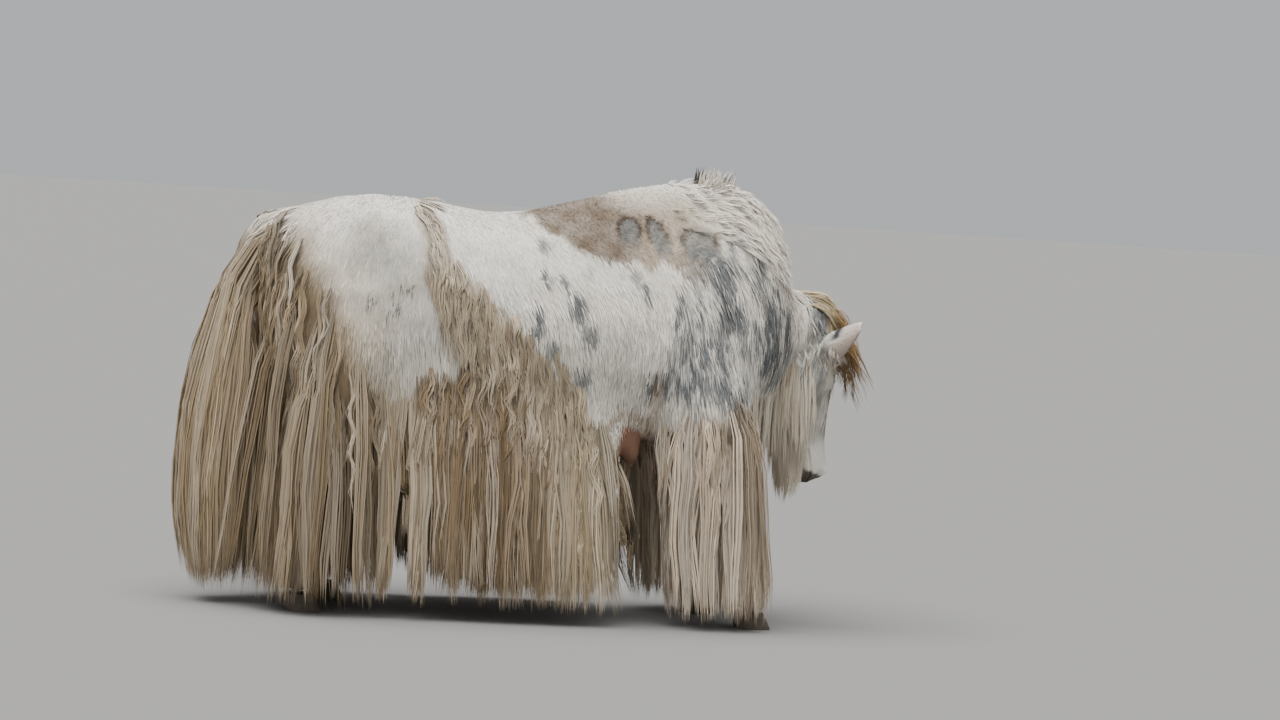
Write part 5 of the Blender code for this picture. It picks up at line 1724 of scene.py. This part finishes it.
fringe = dict(forelock, length=(0.09, 0.27), locks=145, perLock=6, steps=8, rings=8, radius=0.012,
    wave=(0.006, 0.10), rise=0.50, stray=0.14, root=0.95, seed=96, stand=(0.004, 0.036), width=0.0026)

earHair = dict(forelock, length=(0.031, 0.065), locks=130, perLock=6, steps=3, rings=3, radius=0.006,
    width=0.0020, rise=0.15, stray=0.12, seed=97, lockTone=0.05, strandTone=0.06, root=0.97, tip=1.03,
    stand=(0.002, 0.008))


def growHeadCoat(hide, zones, paint, glowingPaint, line):
    growFace(hide, zones, paint, line)
    growLashes(hide, paint)
    turn = np.array(headTurn).T
    h = toHead(hide.middles)
    near = zones["head"] | (hide.middles[:, 0] > 0.78)
    onPoll = near & (h[:, 2] > -0.09) & (h[:, 0] > -0.05) & (np.abs(h[:, 1]) < 0.095)

    def overPoll(place, normal, rng):
        local = toHead(place)
        rows = np.column_stack([0.8 + 0 * local[:, 1], np.sign(local[:, 1]) * 0.35,
            -0.5 - ramp(0.03, 0.08, local[:, 0])])
        return unit(rows @ turn)

    growLocks(hide, "forelock", onPoll.astype(float), ownLength(forelock), forelock, paint,
        flow=overPoll, hug=True, colourOf=lambda place: mix(np.tile(shades["blond"], (len(place), 1)),
        shades["straw"], cloud(place, 0.02, 33)))
    onBrow = near & (h[:, 2] > -0.18) & (h[:, 2] < -0.03) & (h[:, 0] > 0.03) & (np.abs(h[:, 1]) < 0.095)

    def downFace(place, normal, rng):
        local = toHead(place)
        rows = np.column_stack([0.30 + 0 * local[:, 1], local[:, 1] * 0.9, -np.ones(len(place))])
        return unit(rows @ turn)

    # The fringe is painted a tenth lighter than brush and gets the stronger glow: painted light for light
    # shining through it
    growLocks(hide, "fringe", onBrow.astype(float), ownLength(fringe), fringe, glowingPaint,
        flow=downFace, colourOf=lambda place: mix(np.tile(shades["brush"] * 1.10, (len(place), 1)),
        shades["russet"], 0.40 * cloud(place, 0.03, 34)))
    upper = (np.abs(h[:, 1]) - 0.118) * -0.313 + (h[:, 2] + 0.135) * 0.949
    rim = zones["head"] & (np.abs(h[:, 1]) > 0.104) & (h[:, 2] > -0.20)
    eyes = eyeDistance(hide.middles)
    lowerEdge = (upper < -0.022) & (np.abs(h[:, 1]) > 0.15) & (np.abs(h[:, 1]) < 0.21)
    rim = rim * (eyes > 0.062) * ((np.abs(h[:, 1]) < 0.150) + 3.0 * lowerEdge)

    def fromEar(place, normal, rng):
        local = toHead(place)
        rows = np.column_stack([0.1 + 0 * local[:, 1], 0.55 * np.sign(local[:, 1]), -0.9 + 0 * local[:, 1]])
        return unit(rows @ turn)

    # The ear hair gets the stronger glow too: painted light
    growLocks(hide, "ear_hair", rim.astype(float), ownLength(earHair), earHair, glowingPaint,
        flow=fromEar)


# Materials

def addNode(tree, kind, settings=None, links=None):
    # One node with its settings, and its inputs linked from other nodes' outputs
    node = tree.nodes.new(kind)
    for name, value in (settings or {}).items():
        if isinstance(name, str) and hasattr(node, name):
            setattr(node, name, value)
        else:
            node.inputs[name].default_value = value
    for name, source in (links or {}).items():
        tree.links.new(source, node.inputs[name])
    return node


def newMaterial(name, roughness, specular):
    made = bpy.data.materials.new(name)
    made.use_nodes = True
    tree = made.node_tree
    shader = tree.nodes["Principled BSDF"]
    shader.inputs["Roughness"].default_value = roughness
    shader.inputs["Specular IOR Level"].default_value = specular
    return made, tree, shader


def streaks(tree, squash, size, low, high):
    # Noise drawn out down the lie of the coat, and the same as tones from low to high
    where = addNode(tree, "ShaderNodeTexCoord")
    stretch = addNode(tree, "ShaderNodeMapping", {"Scale": (1, 1, squash)},
        {"Vector": where.outputs["Object"]})
    noise = addNode(tree, "ShaderNodeTexNoise", {"Scale": size, "Detail": 3},
        {"Vector": stretch.outputs[0]})
    tones = addNode(tree, "ShaderNodeMapRange",
        {"From Min": 0.3, "From Max": 0.7, "To Min": low, "To Max": high},
        {"Value": noise.outputs["Fac"]})
    return noise, tones


def tinted(tree, shader, tones):
    # The coat's own colour by place, times the tones
    own = addNode(tree, "ShaderNodeAttribute", {"attribute_name": "coatColour"})
    tone = addNode(tree, "ShaderNodeMix", {"data_type": "RGBA", "blend_type": "MULTIPLY", 0: 1.0},
        {6: own.outputs["Color"], 7: tones.outputs[0]})
    tree.links.new(tone.outputs[2], shader.inputs["Base Color"])
    return tone


def raised(tree, shader, strength, distance, height):
    bump = addNode(tree, "ShaderNodeBump", {"Strength": strength, "Distance": distance}, {"Height": height})
    tree.links.new(bump.outputs[0], shader.inputs["Normal"])


def yakHair(name, glow):
    # Keratin, washed and weathered: satin at best, every tuft drawn as a bundle of finer hairs
    made, tree, shader = newMaterial(name, 0.68, 0.16)
    # The tuft's own map is 0.003 across: 2000 gives about six hairs side by side
    place = addNode(tree, "ShaderNodeUVMap", {"uv_map": "OFBake"})
    strands = addNode(tree, "ShaderNodeMapping", {"Scale": (2000, 90, 1)}, {"Vector": place.outputs[0]})
    fine = addNode(tree, "ShaderNodeTexNoise", {"Scale": 1.0, "Detail": 1}, {"Vector": strands.outputs[0]})
    lines = addNode(tree, "ShaderNodeMapRange",
        {"From Min": 0.32, "From Max": 0.68, "To Min": 0.74, "To Max": 1.14},
        {"Value": fine.outputs["Fac"]})
    band = streaks(tree, 0.15, 90, 0.90, 1.06)[1]
    both = addNode(tree, "ShaderNodeMath", {"operation": "MULTIPLY"},
        {0: lines.outputs[0], 1: band.outputs[0]})
    tone = tinted(tree, shader, both)
    # Painted glow: each hair shines faintly in its own colour, standing in for light scattered from hair to
    # hair that keeps the hollows of a pale coat from going black
    tree.links.new(tone.outputs[2], shader.inputs["Emission Color"])
    shader.inputs["Emission Strength"].default_value = glow
    raised(tree, shader, 0.35, 0.0008, fine.outputs["Fac"])
    return made


def yakSkin():
    # Hide under a short coat: dull, its hair read as fine streaks down the lie
    made, tree, shader = newMaterial("haired hide", 0.85, 0.2)
    noise, band = streaks(tree, 0.2, 260, 0.86, 1.04)
    tinted(tree, shader, band)
    raised(tree, shader, 0.5, 0.002, noise.outputs["Fac"])
    return made


def hoofHorn():
    # Horn grown in rings about 3 mm apart, dusty with dry clay
    made, tree, shader = newMaterial("hoof horn", 0.6, 0.35)
    where = addNode(tree, "ShaderNodeTexCoord")
    rings = addNode(tree, "ShaderNodeTexWave",
        {"bands_direction": "Z", "Scale": 110, "Distortion": 2, "Detail": 2},
        {"Vector": where.outputs["Object"]})
    dust = addNode(tree, "ShaderNodeTexNoise", {"Scale": 60, "Detail": 4},
        {"Vector": where.outputs["Object"]})
    colours = addNode(tree, "ShaderNodeMix", {"data_type": "RGBA"}, {0: dust.outputs["Fac"]})
    colours.inputs[6].default_value = (*linear("#38332B"), 1)
    colours.inputs[7].default_value = (*linear("#5F574A"), 1)
    tree.links.new(colours.outputs[2], shader.inputs["Base Color"])
    raised(tree, shader, 0.4, 0.001, rings.outputs["Fac"])
    return made


def eyeball(side):
    # A wet, dark brown eye with a pupil that lies level
    made, tree, shader = newMaterial("wet eye " + ("right" if side < 0 else "left"), 0.08, 0.5)
    shader.inputs["Coat Weight"].default_value = 1.0
    shader.inputs["Coat Roughness"].default_value = 0.02
    _, up, along = eyeAxes(side)
    centre = np.array(eyeCentre(side)) + shiftRow
    where = addNode(tree, "ShaderNodeTexCoord")
    local = addNode(tree, "ShaderNodeVectorMath", {"operation": "SUBTRACT", 1: tuple(centre)},
        {0: where.outputs["Object"]})
    level = addNode(tree, "ShaderNodeVectorMath", {"operation": "DOT_PRODUCT", 1: tuple(along)},
        {0: local.outputs[0]})
    height = addNode(tree, "ShaderNodeVectorMath", {"operation": "DOT_PRODUCT", 1: tuple(up)},
        {0: local.outputs[0]})
    oval = addNode(tree, "ShaderNodeCombineXYZ", None,
        {"X": level.outputs["Value"], "Y": height.outputs["Value"]})
    sized = addNode(tree, "ShaderNodeVectorMath", {"operation": "MULTIPLY", 1: (95, 170, 0)},
        {0: oval.outputs[0]})
    away = addNode(tree, "ShaderNodeVectorMath", {"operation": "LENGTH"}, {0: sized.outputs[0]})
    noise = addNode(tree, "ShaderNodeTexNoise", {"Scale": 700, "Detail": 2},
        {"Vector": where.outputs["Object"]})
    soft = addNode(tree, "ShaderNodeMath", {"operation": "MULTIPLY_ADD", 1: 0.25},
        {0: noise.outputs["Fac"], 2: away.outputs["Value"]})
    colours = addNode(tree, "ShaderNodeValToRGB", None, {0: soft.outputs[0]})
    stops = colours.color_ramp
    stops.elements[0].position, stops.elements[0].color = 0.75, (0.004, 0.003, 0.003, 1)
    stops.elements[1].position, stops.elements[1].color = 0.95, (0.045, 0.022, 0.010, 1)
    tree.links.new(colours.outputs[0], shader.inputs["Base Color"])
    return made


# Eyes and hooves

def buildEyes():
    for side, word in ((-1, "right"), (1, "left")):
        out = eyeAxes(side)[0]
        obj = ellipsoid(Vector(eyeCentre(side)) + shift, (animal["eyeRadius"],) * 3, 0, "eyeball_" + word,
            5)
        rows = vertexRows(obj.data)
        local = rows - np.array(eyeCentre(side)) - shiftRow
        forward = unit(local) @ out
        # The cornea stands a little proud
        rows += out * (face["cornea"] * ramp(0.80, 0.97, forward))[:, None]
        setVertices(obj.data, rows)
        obj.data.shade_smooth()
        obj.data.materials.append(eyeball(side))
        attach(obj, "root")
        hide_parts("eye_" + word)


hoof = {
    "levels": (0.0, 0.006, 0.014, 0.022, 0.030, 0.038, 0.046, 0.0547),
    "sides": 40,
    "toe": 0.058,
    "heel": 0.048,
    "halfWidth": 0.027,
    "apart": 0.0305,        # from the middle of the foot to the middle of each claw
    "ahead": 0.012,
    "narrowing": 0.20,
    "slope": 0.016,
}


def buildHooves(paint):
    top = hoof["levels"][-1]
    for side, word in ((-1, "right"), (1, "left")):
        feet = (("fore", forms["foreLimb"][-1][0], animal["leftForeStep"]),
            ("hind", forms["hindLimb"][-1][0], animal["leftHindStep"]))
        for end, footX, step in feet:
            for inward, clawWord in ((1, "inner"), (-1, "outer")):
                middleX = footX + hoof["ahead"] + (step if side > 0 else 0)
                middleY = side * (animal["footY"] - inward * hoof["apart"])
                rings = []
                for k, z in enumerate(hoof["levels"]):
                    scale = (1 - hoof["narrowing"] * (z / top) ** 1.2 - (0.03 if k == 0 else 0)
                        + 0.008 * (k % 2))
                    ring = []
                    for a in np.linspace(0, 2 * math.pi, hoof["sides"], endpoint=False):
                        reach = hoof["toe"] if math.cos(a) > 0 else hoof["heel"]
                        y = hoof["halfWidth"] * scale * math.copysign(abs(math.sin(a)) ** 0.9, math.sin(a))
                        ring.append((middleX + reach * scale * math.cos(a) - hoof["slope"] * z / top
                            + shift.x, middleY + y - side * inward * 0.002 * math.cos(a) + shift.y, z))
                    rings.append(ring)
                obj = objectOf(loft(rings), f"claw_{end}_{word}_{clawWord}")
                obj.data.shade_smooth()
                obj.data.set_sharp_from_angle(angle=math.radians(50))
                obj.data.materials.append(paint)
                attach(obj, "root")
                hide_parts(f"hoof_{end}_{word}_{clawWord}")


# Floor, light and camera

studio = {
    "place": (-2.2897, -11.9695, 1.40),
    "right": (0.9756, -0.2098, 0.0643),
    "up": (-0.053, 0.0592, 0.9968),
    "focal": 3816.5,      # in pixels of the image
    "imageWidth": 1280,
    "sensor": 36,
    "floorTone": "#7A7977",
    "floorRadius": 150,
    "skyTone": (0.90, 0.92, 0.94),
    "sky": 0.58,
    # name, where it shines from, spread in degrees and strength
    "lamps": (("overhead", (-1.2, -0.8, 6.0), 60, 7.2), ("front", (-3.0, -6.0, 3.0), 60, 0.7)),
}


def buildStage():
    bm = bmesh.new()
    bmesh.ops.create_circle(bm, cap_ends=True, segments=96, radius=studio["floorRadius"])
    floor = objectOf(bm, "floor")
    made, tree, shader = newMaterial("matt painted floor", 0.9, 0.2)
    where = addNode(tree, "ShaderNodeTexCoord")
    noise = addNode(tree, "ShaderNodeTexNoise", {"Scale": 1.5, "Detail": 2},
        {"Vector": where.outputs["Object"]})
    tone = addNode(tree, "ShaderNodeMix", {"data_type": "RGBA"}, {0: noise.outputs["Fac"]})
    tone.inputs[6].default_value = (*linear(studio["floorTone"]), 1)
    tone.inputs[7].default_value = (*linear(studio["floorTone"]) * 0.96, 1)
    tree.links.new(tone.outputs[2], shader.inputs["Base Color"])
    floor.data.materials.append(made)
    world = bpy.data.worlds.new("studio")
    world.use_nodes = True
    world.node_tree.nodes["Background"].inputs[0].default_value = (*studio["skyTone"], 1)
    world.node_tree.nodes["Background"].inputs[1].default_value = studio["sky"]
    bpy.context.scene.world = world
    for name, place, spread, power in studio["lamps"]:
        lamp = bpy.data.lights.new(name, "SUN")
        lamp.angle = math.radians(spread)
        lamp.energy = power
        obj = bpy.data.objects.new(name, lamp)
        obj.location = place
        obj.rotation_euler = (-Vector(place)).to_track_quat("-Z", "Y").to_euler()
        bpy.context.scene.collection.objects.link(obj)
    camera = bpy.data.cameras.new("camera")
    camera.sensor_width = studio["sensor"]
    camera.lens = studio["focal"] * studio["sensor"] / studio["imageWidth"]
    camera.clip_end = 400
    obj = bpy.data.objects.new("camera", camera)
    right, up = Vector(studio["right"]).normalized(), Vector(studio["up"]).normalized()
    back = right.cross(up).normalized()
    up = back.cross(right)
    turn = Matrix((right, up, back)).transposed().to_4x4()
    obj.matrix_world = Matrix.Translation(Vector(studio["place"]) + shift) @ turn
    bpy.context.scene.collection.objects.link(obj)
    bpy.context.scene.camera = obj


skinShade = 0.97     # painted shade: the skin seen between the tufts is a little darker than the hair over it
hairGlow = {"coat": 0.075, "fringe": 0.30}     # painted glow; the fringe stands free, and its stronger glow stands in for light shining through it


def main():
    buildStage()
    hideObject, line = buildHide()
    print("hide:", len(hideObject.data.polygons), "faces")
    unwrap(hideObject)
    hide = Hide(hideObject)
    print("unwrapped, triangles:", len(hide.corners))
    zones = zonesOf(hide.middles)
    tint = np.ones((len(hide.rows), 4))
    tint[:, :3] = markings(hide.rows) * skinShade
    attribute = hideObject.data.color_attributes.new("coatColour", "FLOAT_COLOR", "POINT")
    attribute.data.foreach_set("color", tint.astype(np.float32).ravel())
    hideObject.data.transform(Matrix.Translation(shift))
    hideObject.data.shade_smooth()
    hideObject.data.materials.clear()
    hideObject.data.materials.append(yakSkin())
    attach(hideObject, "root")
    flesh = ["barrel", "rump", "shoulders", "neck", "head", "tail"]
    for word in ("right", "left"):
        flesh += [part + word for part in ("ear_", "skirt_", "fore_leg_", "hind_leg_")]
    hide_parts(*flesh)
    hair = yakHair("yak hair", hairGlow["coat"])
    glowingHair = yakHair("glowing yak hair", hairGlow["fringe"])
    growShort(hide, zones, hair)
    print("short coat done")
    growShaggy(hide, zones, hair)
    print("shaggy coat done")
    growLongHair(hide, zones, hair)
    print("long hair done")
    growCrease(hide, hair)
    growTail(hide, zones, hair)
    growTufts(hide, zones, hair)
    growHeadCoat(hide, zones, hair, glowingHair, line)
    print("head coat done")
    buildEyes()
    buildHooves(hoofHorn())
    for obj in pieces:
        obj.data.calc_loop_triangles()
        print("  ", obj.name, len(obj.data.loop_triangles))
    print("coat triangles:", sum(len(obj.data.loop_triangles) for obj in pieces))


main()
